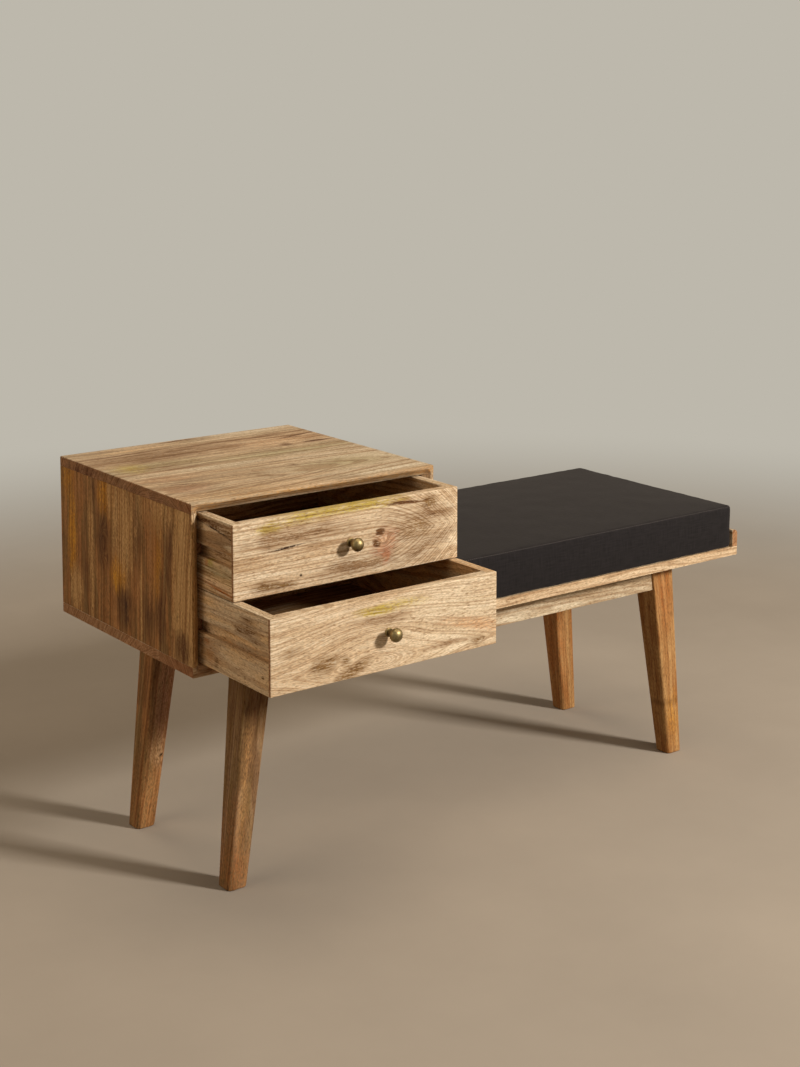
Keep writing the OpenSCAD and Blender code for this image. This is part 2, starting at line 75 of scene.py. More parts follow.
def tint(name, code, says):
    """A colour that a user may change, given as sRGB hex."""
    return bpy.props.FloatVectorProperty(
        name=name, description=says, subtype="COLOR", size=3, min=0, max=1, default=linear(code)
    )


def length(name, millimetres, says):
    """A length that a user may change, given in millimetres."""
    return bpy.props.FloatProperty(
        name=name, description=says, unit="LENGTH", min=0, precision=5, default=millimetres * MM
    )


def amount(name, value, says, high=10.0):
    """A plain number that a user may change."""
    return bpy.props.FloatProperty(name=name, description=says, min=0, max=high, default=value)


class BenchTints(bpy.types.PropertyGroup):
    """Colours of the woods, metals and cloth."""

    straw: tint("Straw", "#e1d0b4", "Fresh sapwood of the fronts and the seat board")
    # Also painted on the top of the dark side's front edge as a painted pool of light
    pale: tint("Pale", "#d8cbb1", "Palest sapwood")
    sand: tint("Sand", "#cfb898", "Darker sapwood")
    peach: tint("Peach", "#d3b28d", "Warm sapwood between darker streaks")
    rose: tint("Rose", "#b08268", "Pinkish heartwood")
    clay: tint("Clay", "#b5713a", "Orange heartwood")
    honey: tint("Honey", "#dcb98a", "Drawer sides")
    hazel: tint("Hazel", "#c29b67", "Paler golden brown of the cabinet sides")
    olive: tint("Olive", "#b0a27e", "Greenish straw streaks")
    lime: tint("Lime", "#b8a450", "Yellow-green mineral streaks")
    gold: tint("Gold", "#c68d30", "Golden streaks of the dark sides")
    tan: tint("Tan", "#b39f82", "Cabinet top")
    mole: tint("Mole", "#917454", "Grey-brown heartwood")
    walnut: tint("Walnut", "#a67646", "Dark heartwood of the cabinet sides")
    smoke: tint("Smoke", "#84653c", "Brown stains of the drawer fronts")
    # Also painted along the upper drawer side's runner groove as painted shade
    umber: tint("Umber", "#6b4825", "Darkest heartwood")
    bark: tint("Bark", "#3b220f", "Knots and resin lines")
    leg_orange: tint("Leg orange", "#b28a58", "Right legs")
    leg_deep: tint("Leg deep", "#9c6c3a", "Darker streaks of the right legs")
    leg_brown: tint("Leg brown", "#866a42", "Left legs")
    veneer: tint("Veneer", "#a98559", "Plywood faces")
    brass: tint("Brass", "#a89468", "Rubbed antique brass")
    patina: tint("Patina", "#3f331f", "Dark patina in the hollows of the knobs")
    zinc: tint("Zinc", "#b9bab5", "Zinc plate")
    charcoal: tint("Charcoal", "#151213", "Cushion cloth")
    sewing: tint("Thread", "#4b4540", "Sewing thread of the cushion's seams")
    foam: tint("Foam", "#e0d7a8", "Cut foam")


class BenchSizes(bpy.types.PropertyGroup):
    """Sizes of the finish."""

    ease: length("Eased edge", 0.7, "Radius of the boards' sanded edges")
    shortest: length("Shortest eased edge", 1.2, "Edges shorter than this are rims of holes")
    stout: length("Stouter foot", 2.2, "How much each face of a leg stands out more at the foot")
    shoulder: length("Cushion shoulder", 6, "Radius of the cushion's edges")
    corner: length("Cushion corner", 9, "Radius of the cushion's corners, seen from above")
    snug: length("Cushion fit", 3.5, "How much longer it is cut, so that it leans on the end lip")
    cell: length("Cushion mesh", 9, "Spacing of the cushion's mesh before subdivision")
    flush: length("Cushion front", 2, "How much further the cushion reaches forward")
    crown: length("Cushion crown", 4, "How far the pressed cushion rises in its middle")
    swell: length("Cushion swell", 2.2, "How far the pressed cushion's sides stand out")
    pucker: length("Pucker width", 16, "How far the small puckers reach from a seam")
    thread: length("Thread pitch", 1.9, "Weave, twice as coarse as the real cloth so that it shows")
    stitch: length("Stitch pitch", 4.2, "Distance from stitch to stitch along a seam")
    recess: length("Screw recess", 1.1, "Width of the cross in a screw's head")
    pressure: amount("Cushion pressure", 4, "Pressure that plumps the cushion")


class BenchStage(bpy.types.PropertyGroup):
    """Floor, light and camera."""

    floor: tint("Floor", "#a2988b", "Plain pale floor")
    wall: tint("Backdrop", "#bdb8ac", "Backdrop that the camera sees")
    sky: tint("Fill light", "#f6e3cb", "Soft light from all round")
    sun: tint("Key light", "#fff8ef", "Soft light from the front right")
    fill: amount("Fill", 0.09, "Strength of the fill light")
    key: amount("Key power", 270, "Power of the key light in watts", 2000)
    over: amount("Overhead power", 45, "Power of the large light overhead in watts", 2000)
    side: amount("Side power", 35, "Power of the weak light from the left in watts", 2000)
    back: amount("Back power", 30, "Power of the light behind the bench in watts", 2000)


# The kinds of node that are added most often
MATH, VECTOR, MIX = "ShaderNodeMath", "ShaderNodeVectorMath", "ShaderNodeMix"
NOISE, MAPPING, RAMP = "ShaderNodeTexNoise", "ShaderNodeMapping", "ShaderNodeValToRGB"
RANGE, SPHERE, BUMP = "ShaderNodeMapRange", "ShaderNodeTexGradient", "ShaderNodeBump"
PLACE, SIDES, JOINED = "ShaderNodeTexCoord", "ShaderNodeSeparateXYZ", "ShaderNodeCombineXYZ"


def feed(tree, node, *inputs, **named):
    """Fills a node's inputs, the first ones in order and others by name, with _ for a space. An
    input takes a value, a socket, or a node for its first output."""
    live = [socket for socket in node.inputs if socket.enabled]
    pairs = list(zip(live, inputs))
    for key, value in named.items():
        pairs.append((next(s for s in live if s.name == key.replace("_", " ")), value))
    for socket, value in pairs:
        if isinstance(value, bpy.types.Node):
            value = next(s for s in value.outputs if s.enabled)
        if isinstance(value, bpy.types.NodeSocket):
            tree.links.new(value, socket)
        else:
            socket.default_value = value


def add(tree, kind, *inputs, **settings):
    """Adds a node. A setting is a property of the node, the stops or the interpolation of a
    colour ramp, or a named input."""
    node, named = tree.nodes.new(kind), {}
    for key, value in settings.items():
        if key == "interpolation":
            node.color_ramp.interpolation = value
        elif key == "stops":
            ramp = node.color_ramp.elements
            ramp.remove(ramp[1])
            ramp[0].position, ramp[0].color = value[0]
            for place, colour in value[1:]:
                ramp.new(place).color = colour
        elif key in node.bl_rna.properties:
            setattr(node, key, value)
        else:
            named[key] = value
    feed(tree, node, *inputs, **named)
    return node


def new_material(name):
    """An empty material, its tree, and its surface shader, linked to the output."""
    material = bpy.data.materials.new(name)
    material.use_nodes = True
    tree = material.node_tree
    tree.nodes.clear()
    surface = add(tree, "ShaderNodeBsdfPrincipled")
    add(tree, "ShaderNodeOutputMaterial", surface)
    return material, tree, surface


def alpha(colour):
    """A colour with its alpha, as a socket takes it."""
    return (*colour, 1.0)


class Spot(NamedTuple):
    """A soft ellipse on a board: a streak, a stain or a knot, or a patch of painted light or
    painted shade. Millimetres from the board's low corner, u along the grain and v across it, with
    half sizes. A lift bends the rings round it, and it goes right through the board unless it is
    given a depth."""

    u: float
    v: float
    along: float
    across: float
    tint: str
    strength: float = 1.0
    lift: float = 0.0
    turn: float = 0.0
    deep: float = 1e4


class Board(NamedTuple):
    """How a board was sawn. A plank starts at a place across the board and has a tint. The pith's
    place is in millimetres from the board's low corner and from the middle of its thickness, and
    the tilt says how fast the grain runs out of the face."""

    grain: str
    across: str
    planks: tuple = ((0, "straw"),)
    pith: tuple = (20, -70)
    tilt: float = 0.04
    ring: float = 7.0
    wander: float = 8.0
    figure: float = 1.0
    other: str = "sand"
    spots: tuple = ()


# Grain sizes in millimetres: along the grain and across it
DRIFT, STREAK, PATCH, FIBRE = (260, 55), (420, 15), (95, 11), (26, 1.8)
SPECKLE, RAGGED, PORE, BREAK = (4.5, 1.8), (28, 7), (8, 1.6), (70, 9)
LINE_GAP = 3.0
# How far apart in the tree planks grew, and what picks a place there for a plank and a board
PLANK_STEP, PLANK_PICK, BOARD_PICK = (870, 230, 150), 0.39, 0.17
# Between which two values of the noise a patch, a line or a pore comes in
PATCH_EDGE, LINE_EDGE, PORE_EDGE = (0.4, 0.62), (0.76, 0.88), (0.55, 0.72)
# Between which cosines of the angle to the grain a face starts to show end grain
END_EDGE = (0.6, 0.9)
# The noise's range, and what it makes of a spot's strength or of the brightness
SPOT_RANGE, SPECKLE_RANGE = (0.75, 1.25, 0.25, 1.7), (0.3, 0.7, 0.82, 1.18)
# How ragged a spot's rim is, as a share of its half sizes
TORN = 0.45
# How much growth rings, streaks and fibres vary the dark grain, and what each adds on average
RING_WEIGHT, STREAK_WEIGHT, FIBRE_WEIGHT, DARK_SHARE = 1.5, 1.2, 1.2, 0.12
LINE_STRENGTH, PORE_STRENGTH = 0.75, 0.8
# What the darker grain, a line, a pore and end grain take from the tint
LATE_WOOD, LINE_SHADE = (0.66, 0.56, 0.45), (0.5, 0.37, 0.25)
PORE_SHADE, END_SHADE = (0.5, 0.4, 0.3), (0.54, 0.36, 0.25)
# Roughness of the pale and of the dark grain
MATT = (0.66, 0.8)


def grain_noise(tree, place, size, detail=2.0):
    """Noise stretched along the grain, with its size in millimetres along and across."""
    along, across = size
    per_cell = (1 / along, 1 / across, 1 / across)
    scaled = add(tree, VECTOR, place, per_cell, operation="MULTIPLY")
    return add(tree, NOISE, scaled, 1.0, detail)


def mango(name, board, low, high, tints, seed, lean=None):
    """Mango wood, planed, sanded and given a clear matt finish. It shows long soft streaks,
    fine fibres, short open pores, and cathedral lines where the rings run out of the face. The
    grain runs along an axis, or along the lean of a splayed leg."""
    material, tree, surface = new_material(name)
    u, v = lean or AXES[board.grain], AXES[board.across]
    v = (v - v.project(u)).normalized()
    w = u.cross(v)
    turn = Matrix((u, v, w)).transposed().to_euler()
    width = (high - low).dot(v) / MM
    thick = max(range(3), key=lambda i: abs(w[i]))
    corner = low.copy()
    corner[thick] = (low[thick] + high[thick]) / 2
    place = add(tree, PLACE)
    grain = add(
        tree, MAPPING, place.outputs["Object"], corner, turn, (MM, MM, MM), vector_type="TEXTURE"
    )

    # Each plank of a glued board comes from another place in the tree
    across = add(tree, SIDES, grain).outputs["Y"]
    share = add(tree, MATH, across, width, operation="DIVIDE")
    numbers, colours = [], []
    for k, (start, shade) in enumerate(board.planks):
        number = (k * PLANK_PICK + seed * BOARD_PICK) % 1
        numbers.append((start / width, alpha([number] * 3)))
        colours.append((start / width, alpha(getattr(tints, shade))))
    number, base = (
        add(tree, RAMP, share, interpolation="CONSTANT", stops=parts)
        for parts in (numbers, colours)
    )
    step = PLANK_STEP if len(board.planks) > 1 else (PLANK_STEP[0], 0, 0)
    in_plank = add(tree, VECTOR, number.outputs["Color"], step, grain, operation="MULTIPLY_ADD")
    drift = grain_noise(tree, in_plank, DRIFT, 1.0).outputs["Color"]
    sway = board.wander
    wander = add(
        tree, VECTOR, drift, (0, 2 * sway, 2 * sway), (0, -sway, -sway), operation="MULTIPLY_ADD"
    )
    on_face = add(tree, VECTOR, grain, wander, operation="ADD")
    in_tree = add(tree, VECTOR, in_plank, wander, operation="ADD")
    fibre = grain_noise(tree, in_tree, FIBRE).outputs["Fac"]

    # Distance from the pith, which runs at a slant through the board
    pith = (0, -board.pith[0], -board.pith[1])
    heart = add(tree, MAPPING, in_tree, pith, (0, -board.tilt, 0), vector_type="POINT")
    flat = add(tree, VECTOR, heart, (0, 1, 1), operation="MULTIPLY")
    radius = add(tree, VECTOR, flat, operation="LENGTH")

    # Patches of another tint, and the spots, with ragged rims
    patch = add(tree, RANGE, grain_noise(tree, in_tree, PATCH, 3.0), *PATCH_EDGE)
    base = add(tree, MIX, patch, base, alpha(getattr(tints, board.other)), data_type="RGBA")
    speckle = grain_noise(tree, in_tree, SPECKLE, 1.0)
    mottle = add(tree, MATH, fibre, speckle, operation="ADD")
    ragged = add(tree, RANGE, mottle, *SPOT_RANGE)
    torn = grain_noise(tree, in_plank, RAGGED).outputs["Color"]
    torn = add(
        tree, VECTOR, torn, (2 * TORN, 2 * TORN, 0), (-TORN, -TORN, 0), operation="MULTIPLY_ADD"
    )
    for spot in board.spots:
        ellipse = add(
            tree, MAPPING, on_face, (spot.u, spot.v, 0), (0, 0, radians(spot.turn)),
            (spot.along, spot.across, spot.deep), vector_type="TEXTURE",
        )
        if spot.lift:
            hill = add(tree, SPHERE, ellipse, gradient_type="SPHERICAL").outputs["Fac"]
            hill = add(tree, MATH, hill, 2.0, operation="POWER")
            radius = add(tree, MATH, hill, spot.lift, radius, operation="MULTIPLY_ADD")
        if spot.strength:
            ellipse = add(tree, VECTOR, ellipse, torn, operation="ADD")
            soft = add(tree, SPHERE, ellipse, gradient_type="SPHERICAL").outputs["Fac"]
            strong = add(tree, MATH, soft, spot.strength, operation="MULTIPLY")
            part = add(tree, MATH, strong, ragged, operation="MULTIPLY", use_clamp=True)
            shade = alpha(getattr(tints, spot.tint))
            base = add(tree, MIX, part, base, shade, data_type="RGBA")

    rings = add(tree, MATH, radius, board.ring, operation="DIVIDE")
    growth = add(tree, NOISE, rings, 1.0, 1.0, noise_dimensions="1D")
    streak = grain_noise(tree, in_tree, STREAK)
    dark = 0.0
    for part, weight in (growth, RING_WEIGHT), (streak, STREAK_WEIGHT), (fibre, FIBRE_WEIGHT):
        weight *= board.figure
        rest = DARK_SHARE - 0.5 * weight
        part = add(tree, MATH, part, weight, rest, operation="MULTIPLY_ADD")
        dark = add(tree, MATH, dark, part, operation="ADD")
    dark.use_clamp = True

    # Thin dark lines along the rings, broken here and there
    lines = add(tree, MATH, radius, LINE_GAP, operation="DIVIDE")
    lines = add(tree, NOISE, lines, 1.0, 0.0, noise_dimensions="1D")
    broken = grain_noise(tree, in_tree, BREAK, 1.0)
    lines = add(tree, MATH, broken, 0.5, lines, operation="MULTIPLY_ADD")
    line = add(tree, RANGE, lines, *LINE_EDGE, To_Max=min(1.0, LINE_STRENGTH * board.figure))
    pore = add(tree, RANGE, grain_noise(tree, in_tree, PORE, 1.0), *PORE_EDGE, To_Max=PORE_STRENGTH)
    facing = add(tree, VECTOR, place.outputs["Normal"], u, operation="DOT_PRODUCT")
    facing = add(tree, MATH, facing, operation="ABSOLUTE")
    end = add(tree, RANGE, facing, *END_EDGE)
    speckle = add(tree, RANGE, speckle, *SPECKLE_RANGE)
    colour = add(tree, VECTOR, base, speckle, operation="SCALE")
    for part, shade in (dark, LATE_WOOD), (line, LINE_SHADE), (pore, PORE_SHADE), (end, END_SHADE):
        colour = add(tree, MIX, part, colour, alpha(shade), data_type="RGBA", blend_type="MULTIPLY")
    gloss = add(tree, RANGE, dark, 0.0, 1.0, *MATT)
    height = add(tree, MATH, pore, -1.0, fibre, operation="MULTIPLY_ADD")
    bump = add(tree, BUMP, Strength=0.35, Distance=0.3 * MM, Height=height)
    feed(tree, surface, Base_Color=colour, Roughness=gloss, Normal=bump, Specular_IOR_Level=0.2)
    return material


UPPER_FRONT = Board(
    "X", "Z", pith=(55, 7), tilt=0.0, ring=8, wander=4, figure=0.82,
    spots=(
        Spot(400, 54, 170, 900, "straw", 0.0, lift=100), Spot(300, 54, 90, 64, "mole", 0.6),
        Spot(318, 58, 34, 26, "smoke", 0.8), Spot(255, 44, 26, 30, "rose", 1.3, turn=-60),
        Spot(205, 19, 90, 16, "mole", 1.3), Spot(330, 26, 90, 12, "mole", 0.9, turn=16),
        Spot(110, 76, 130, 20, "mole", 0.9), Spot(205, 104, 110, 11, "lime", 1.4),
        Spot(118, 101, 60, 14, "lime", 1.0), Spot(58, 93, 26, 11, "lime", 1.5),
        Spot(60, 80, 26, 22, "mole", 0.9), Spot(254, 46, 22, 20, "peach", 0.8, lift=-16),
        Spot(257, 27, 12, 20, "rose", 1.2), Spot(257, 24, 9, 14, "clay", 0.4),
        Spot(247, 60, 10, 7, "umber", 2.6), Spot(240, 44, 10, 6, "umber", 2.4, turn=-30),
        Spot(336, 92, 19, 13, "smoke", 1.6, lift=-9), Spot(295, 97, 45, 3, "umber", 2.2, turn=-2),
        Spot(86, 61.5, 32, 2.2, "bark", 2.6, turn=3), Spot(52, 13, 28, 10, "smoke", 1.5),
        Spot(84, 10, 26, 6, "smoke", 1.3), Spot(110, 21, 3, 2.4, "bark", 2),
        Spot(345, 75, 50, 14, "mole", 0.9),
    ),
)
LOWER_FRONT = Board(
    "X", "Z", pith=(18, 12), tilt=0.0, ring=7, wander=11, figure=0.65,
    spots=(
        Spot(175, 20, 260, 160, "sand", 0.3, lift=-60), Spot(340, 60, 160, 100, "pale", 0.5),
        Spot(50, 16, 100, 40, "sand", 1.4), Spot(86, 27, 34, 17, "smoke", 1.1, turn=10),
        Spot(132, 12, 46, 13, "smoke", 1.2, turn=24), Spot(122, 27, 12, 9, "smoke", 1.2, turn=-30),
        Spot(175, 85, 50, 9, "lime", 1.3, turn=2), Spot(215, 88, 60, 10, "lime", 0.7),
        Spot(35, 56, 26, 9, "smoke", 0.8), Spot(356, 36, 80, 10, "peach", 1.3, turn=-14),
        Spot(353, 13, 19, 10, "smoke", 1.0, lift=-16), Spot(270, 22, 50, 10, "sand", 0.9),
        Spot(175, 72, 70, 9, "mole", 1.1), Spot(120, 60, 120, 30, "sand", 0.5),
        Spot(300, 20, 60, 6, "mole", 0.8),
    ),
)
CABINET_TOP = Board(
    "X", "Y", planks=((0, "tan"), (186, "tan"), (275, "mole"), (352, "tan")), pith=(130, -60),
    tilt=0.05, ring=11, wander=9, figure=0.8,
    spots=(
        Spot(80, 245, 110, 40, "olive", 1.1), Spot(300, 220, 190, 30, "olive", 1.2),
        Spot(42, 250, 36, 44, "lime", 0.7), Spot(120, 207, 90, 9, "mole", 1.0),
        Spot(90, 230, 60, 14, "mole", 0.9), Spot(300, 190, 360, 9, "pale", 1.5),
        Spot(330, 295, 140, 50, "peach", 0.6), Spot(110, 310, 190, 40, "mole", 1.0),
        Spot(250, 340, 120, 12, "mole", 1.2), Spot(385, 262, 30, 7, "umber", 2.6),
        Spot(330, 264, 14, 16, "umber", 1.0), Spot(385, 318, 50, 5, "umber", 1.6, turn=14),
        Spot(55, 158, 60, 24, "clay", 0.3), Spot(45, 85, 50, 36, "rose", 0.4),
        Spot(60, 112, 40, 5, "umber", 0.9, turn=-18), Spot(80, 30, 160, 26, "honey", 0.4),
        Spot(360, 24, 130, 24, "pale", 1.1), Spot(360, 110, 190, 90, "pale", 0.8),
        Spot(330, 100, 120, 50, "olive", 0.9), Spot(210, 391, 70, 6, "umber", 1.4, turn=4),
        Spot(340, 385, 120, 26, "pale", 0.8), Spot(150, 160, 150, 12, "sand", 0.8),
        Spot(60, 344, 80, 7, "umber", 0.6), Spot(210, 4, 500, 15, "leg_orange", 1.3, deep=9),
        Spot(110, 366, 120, 10, "honey", 0.5), Spot(255, 130, 8, 20, "umber", 0.6),
    ),
)
DARK_SIDE = Board(
    "Z", "Y", pith=(60, -45), tilt=0.05, ring=9, wander=8, figure=0.85, other="smoke",
    planks=(
        (0, "hazel"), (48, "walnut"), (143, "walnut"), (232, "walnut"), (302, "walnut"),
        (345, "walnut"),
    ),
    spots=(
        # The pale spot at the top of the front edge, Spot(230, 0, ...), is a painted pool of light
        # where the key light reaches the edge above the drawers' shadow
        Spot(120, 24, 240, 40, "hazel", 2.2), Spot(230, 0, 36, 14, "pale", 1.4, deep=10),
        Spot(20, 30, 34, 30, "umber", 1.4), Spot(155, 62, 90, 12, "umber", 1.5, turn=-6),
        Spot(130, 100, 80, 20, "gold", 0.8, turn=-6), Spot(150, 104, 70, 14, "clay", 0.4, turn=-6),
        Spot(50, 85, 50, 18, "umber", 1.8), Spot(45, 122, 50, 30, "umber", 1.0),
        Spot(210, 100, 50, 70, "hazel", 1.2), Spot(60, 148, 90, 5, "hazel", 2.4),
        Spot(150, 160, 80, 14, "umber", 1.0), Spot(150, 120, 110, 24, "walnut", 1.2),
        Spot(85, 214, 40, 26, "gold", 1.8, turn=-12), Spot(38, 200, 44, 36, "umber", 1.5),
        Spot(40, 196, 40, 10, "bark", 0.8), Spot(165, 200, 100, 46, "hazel", 1.7),
        Spot(125, 264, 46, 22, "umber", 1.5, lift=-40), Spot(125, 264, 60, 32, "umber", 0.9),
        Spot(200, 256, 44, 28, "gold", 1.0), Spot(205, 240, 45, 12, "hazel", 1.4),
        Spot(120, 298, 150, 9, "hazel", 1.6), Spot(110, 362, 90, 19, "gold", 1.6),
        Spot(35, 350, 44, 28, "hazel", 2.0), Spot(205, 375, 50, 30, "gold", 0.7),
        Spot(70, 318, 90, 18, "umber", 0.8), Spot(195, 290, 50, 14, "umber", 1.0),
        Spot(190, 330, 60, 20, "walnut", 1.2), Spot(40, 250, 50, 30, "walnut", 1.0),
    ),
)
CALM_SIDE = Board(
    "Z", "Y", planks=((0, "tan"), (86, "sand"), (178, "tan"), (262, "mole"), (330, "tan")),
    pith=(90, -60), tilt=0.04, ring=10, wander=9, figure=0.9,
    spots=(
        Spot(130, 120, 110, 20, "peach", 1.0), Spot(90, 230, 80, 16, "olive", 1.1),
        Spot(60, 60, 60, 12, "smoke", 0.8), Spot(150, 300, 90, 10, "umber", 0.5),
        Spot(110, 365, 90, 14, "honey", 1.0), Spot(170, 160, 14, 9, "smoke", 1.4, lift=-14),
    ),
)
SEAT_BOARD = Board(
    "X", "Y", planks=((0, "sand"), (95, "straw"), (200, "pale"), (290, "sand")), pith=(150, -90),
    tilt=0.02, ring=9, figure=0.8,
    spots=(
        Spot(60, 30, 120, 60, "walnut", 0.8), Spot(20, 330, 50, 90, "pale", 1.0),
    ),
)
UPPER_SIDE = Board(
    "Y", "Z", planks=((0, "honey"),), pith=(75, -45), tilt=0.02, ring=8, wander=5, figure=1.1,
    spots=(
        Spot(40, 97, 120, 10, "umber", 0.9, turn=6), Spot(30, 90, 90, 2.4, "bark", 1.3, turn=8),
        # The umber band along v 55.5 is painted shade on the floor of the runner groove
        Spot(40, 76, 90, 14, "tan", 0.8), Spot(40, 55.5, 200, 8, "umber", 0.7),
        Spot(60, 110, 300, 6, "pale", 1.6), Spot(58, 41, 14, 7, "lime", 1.6),
        Spot(66, 40, 7, 6, "clay", 1.6), Spot(30, 33, 120, 13, "olive", 0.9),
        Spot(40, 15, 120, 8, "peach", 1.2), Spot(20, 8, 60, 2.5, "clay", 1.2, turn=4),
    ),
)
LOWER_SIDE = Board(
    "Y", "Z", planks=((0, "honey"),), pith=(30, -60), tilt=0.03, ring=8, figure=0.55,
    spots=(
        Spot(50, 78, 46, 15, "umber", 0.8), Spot(75, 73, 16, 6, "umber", 1.2),
        Spot(30, 66, 24, 6, "umber", 0.9), Spot(50, 92, 26, 5, "umber", 0.9),
        Spot(70, 18, 90, 24, "sand", 0.9), Spot(150, 20, 30, 22, "walnut", 0.7),
        Spot(133, 14, 8, 12, "umber", 0.9), Spot(158, 36, 12, 5, "clay", 0.6),
        Spot(15, 25, 5, 3, "umber", 1.4), Spot(120, 110, 300, 6, "pale", 1.6),
    ),
)
PLAIN_SIDE = Board(
    "Y", "Z", planks=((0, "honey"),), pith=(40, -60), tilt=0.05, figure=0.8,
    spots=(
        Spot(120, 110, 400, 6, "pale", 1.6),
    ),
)
REAR = Board("X", "Z", planks=((0, "honey"),), pith=(50, -80), tilt=0.03)
FRONT_RAIL = Board(
    "X", "Z", planks=((0, "pale"),), pith=(-20, -50), tilt=0.03, figure=0.8, other="tan",
)
SIDE_RAIL = Board("Y", "Z", planks=((0, "sand"),), pith=(-20, -50), tilt=0.03, figure=0.8)
LIP = Board("Y", "Z", planks=((0, "straw"),), pith=(60, -30), tilt=0.03)
RUNNER = Board("Y", "Z", planks=((0, "sand"),), pith=(40, -30), tilt=0.03)
BLOCK = Board("X", "Y", planks=((0, "straw"),), pith=(90, -60), tilt=0.03)
BROWN_LEG = Board(
    "Z", "X", planks=((0, "leg_brown"),), pith=(10, -90), ring=8, wander=5, figure=0.8,
    other="mole",
    spots=(
        Spot(60, 5, 110, 26, "clay", 0.3), Spot(200, 8, 150, 10, "hazel", 0.7),
        Spot(300, 25, 90, 60, "umber", 0.8), Spot(20, 18, 50, 40, "clay", 0.25),
    ),
)
KNOTTY_LEG = Board(
    "Z", "X", planks=((0, "leg_brown"),), pith=(55, -45), ring=7, wander=5, figure=0.8,
    other="walnut",
    spots=(
        Spot(215, 25, 140, 30, "rose", 0.8), Spot(50, 14, 100, 50, "walnut", 0.8),
        Spot(128, 20, 34, 20, "honey", 0.5, lift=-18),
        Spot(121, 26, 10, 4.2, "bark", 6.0, turn=45, deep=14),
        Spot(260, 0, 80, 9, "umber", 1.0, turn=4),
    ),
)
ORANGE_LEG = Board(
    "Z", "X", planks=((0, "leg_orange"),), pith=(-25, -90), ring=8, wander=6, figure=0.6,
    other="leg_deep",
    spots=(
        Spot(88, 62, 9, 44, "umber", 0.7), Spot(60, 67, 60, 20, "gold", 0.5),
        Spot(300, 65, 90, 22, "clay", 0.4),
    ),
)
REDDISH_LEG = Board(
    "Z", "X", planks=((0, "leg_orange"),), pith=(120, -50), ring=8, wander=6, figure=0.6,
    other="leg_deep",
    spots=(
        Spot(140, 46, 200, 24, "clay", 0.5),
    ),
)

BOARDS = {
    "seat_board": SEAT_BOARD, "cabinet_top": CABINET_TOP, "end_lip": LIP,
    "cabinet_side_left": DARK_SIDE, "cabinet_side_right": CALM_SIDE,
    "upper_front": UPPER_FRONT, "upper_side_left": UPPER_SIDE, "upper_side_right": PLAIN_SIDE,
    "upper_rear": REAR, "lower_front": LOWER_FRONT, "lower_side_left": LOWER_SIDE,
    "lower_side_right": PLAIN_SIDE, "lower_rear": REAR, "front_rail": FRONT_RAIL,
    "back_rail": FRONT_RAIL, "left_rail": SIDE_RAIL, "right_rail": SIDE_RAIL,
    "runner_lower_left": RUNNER, "runner_lower_right": RUNNER,
    "runner_upper_left": RUNNER, "runner_upper_right": RUNNER,
    "block_front_left": BLOCK, "block_front_right": BLOCK,
    "block_back_left": BLOCK, "block_back_right": BLOCK,
    "leg_front_left": BROWN_LEG, "leg_back_left": KNOTTY_LEG,
    "leg_front_right": ORANGE_LEG, "leg_back_right": REDDISH_LEG,
}


def stand_for(piece, node):
    """Rides a piece on the body of the node that it replaces, and hides that node."""
    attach(piece, BODIES[node])
    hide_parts(node)


def extent(points):
    """The low and the high corner of some points."""
    return [Vector(f(p[i] for p in points) for i in range(3)) for f in (min, max)]


def inward(point, low, high):
    """How far a point lies in from the nearer side of a box, along each axis."""
    return [min(c - a, b - c) for c, a, b in zip(point, low, high)]


def coat(node, material):
    """Gives a CAD node's own object a material."""
    for slot in NODES[node].material_slots:
        slot.material = material


def new_object(name, data, material=None):
    """An object of this mesh, lamp or camera, at the origin."""
    piece = bpy.data.objects.new(name, data)
    bpy.context.scene.collection.objects.link(piece)
    if material:
        data.materials.clear()
        data.materials.append(material)
    return piece


def finished_mesh(name, shape, smooth=False):
    """The mesh of an edit mesh, which is freed."""
    if smooth:
        bmesh.ops.recalc_face_normals(shape, faces=shape.faces)
        for face in shape.faces:
            face.smooth = True
    mesh = bpy.data.meshes.new(name)
    shape.to_mesh(mesh)
    shape.free()
    return mesh


# Points closer than this are one point, and points this close to an end or a board lie on it
WELD, CLOSE = 0.002 * MM, 0.1 * MM
# Faces that bend less than this are one flat face, and edges that bend more than this are eased
FLAT, SHARP = radians(0.4), radians(30)


def welded_copy(node):
    """An edit mesh of a CAD node, with the points that its faces share joined up."""
    shape = bmesh.new()
    shape.from_mesh(NODES[node].data)
    bmesh.ops.remove_doubles(shape, verts=shape.verts, dist=WELD)
    return shape


def eased_copy(node, ease, shortest):
    """A copy of a CAD board with its flat faces joined up and its long sharp edges rounded."""
    shape = welded_copy(node)
    bmesh.ops.dissolve_limit(shape, angle_limit=FLAT, verts=shape.verts, edges=shape.edges)
    for face in shape.faces:
        face.smooth = False
    long = [e for e in shape.edges if len(e.link_faces) == 2 and e.calc_length() > shortest]
    sharp = [e for e in long if e.calc_face_angle_signed() > SHARP]
    rounded = bmesh.ops.bevel(
        shape, geom=sharp, offset=ease, offset_type="OFFSET", segments=2, profile=0.5,
        affect="EDGES", clamp_overlap=False, loop_slide=True,
    )
    for face in rounded["faces"]:
        face.smooth = True
    return finished_mesh(f"{node}_eased", shape)


def leg_ends(leg):
    """The middle of a leg's sole and the middle of its top."""
    ends = []
    for height in (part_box(leg)[0].z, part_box(leg)[1].z):
        low, high = extent([v.co for v in NODES[leg].data.vertices if abs(v.co.z - height) < CLOSE])
        ends.append((low + high) / 2)
    return ends


def stouter(mesh, foot, top, by):
    """Widens a leg evenly from its top down to its foot, which is widest above its eased sole."""
    reach = max(v.co.x for v in mesh.vertices if v.co.z < foot.z + 2 * MM) - foot.x
    for v in mesh.vertices:
        share = (top.z - v.co.z) / (top.z - foot.z)
        middle = top.lerp(foot, share)
        grown = middle + (v.co - middle) * (1 + share * by / reach)
        v.co.x, v.co.y = grown.x, grown.y


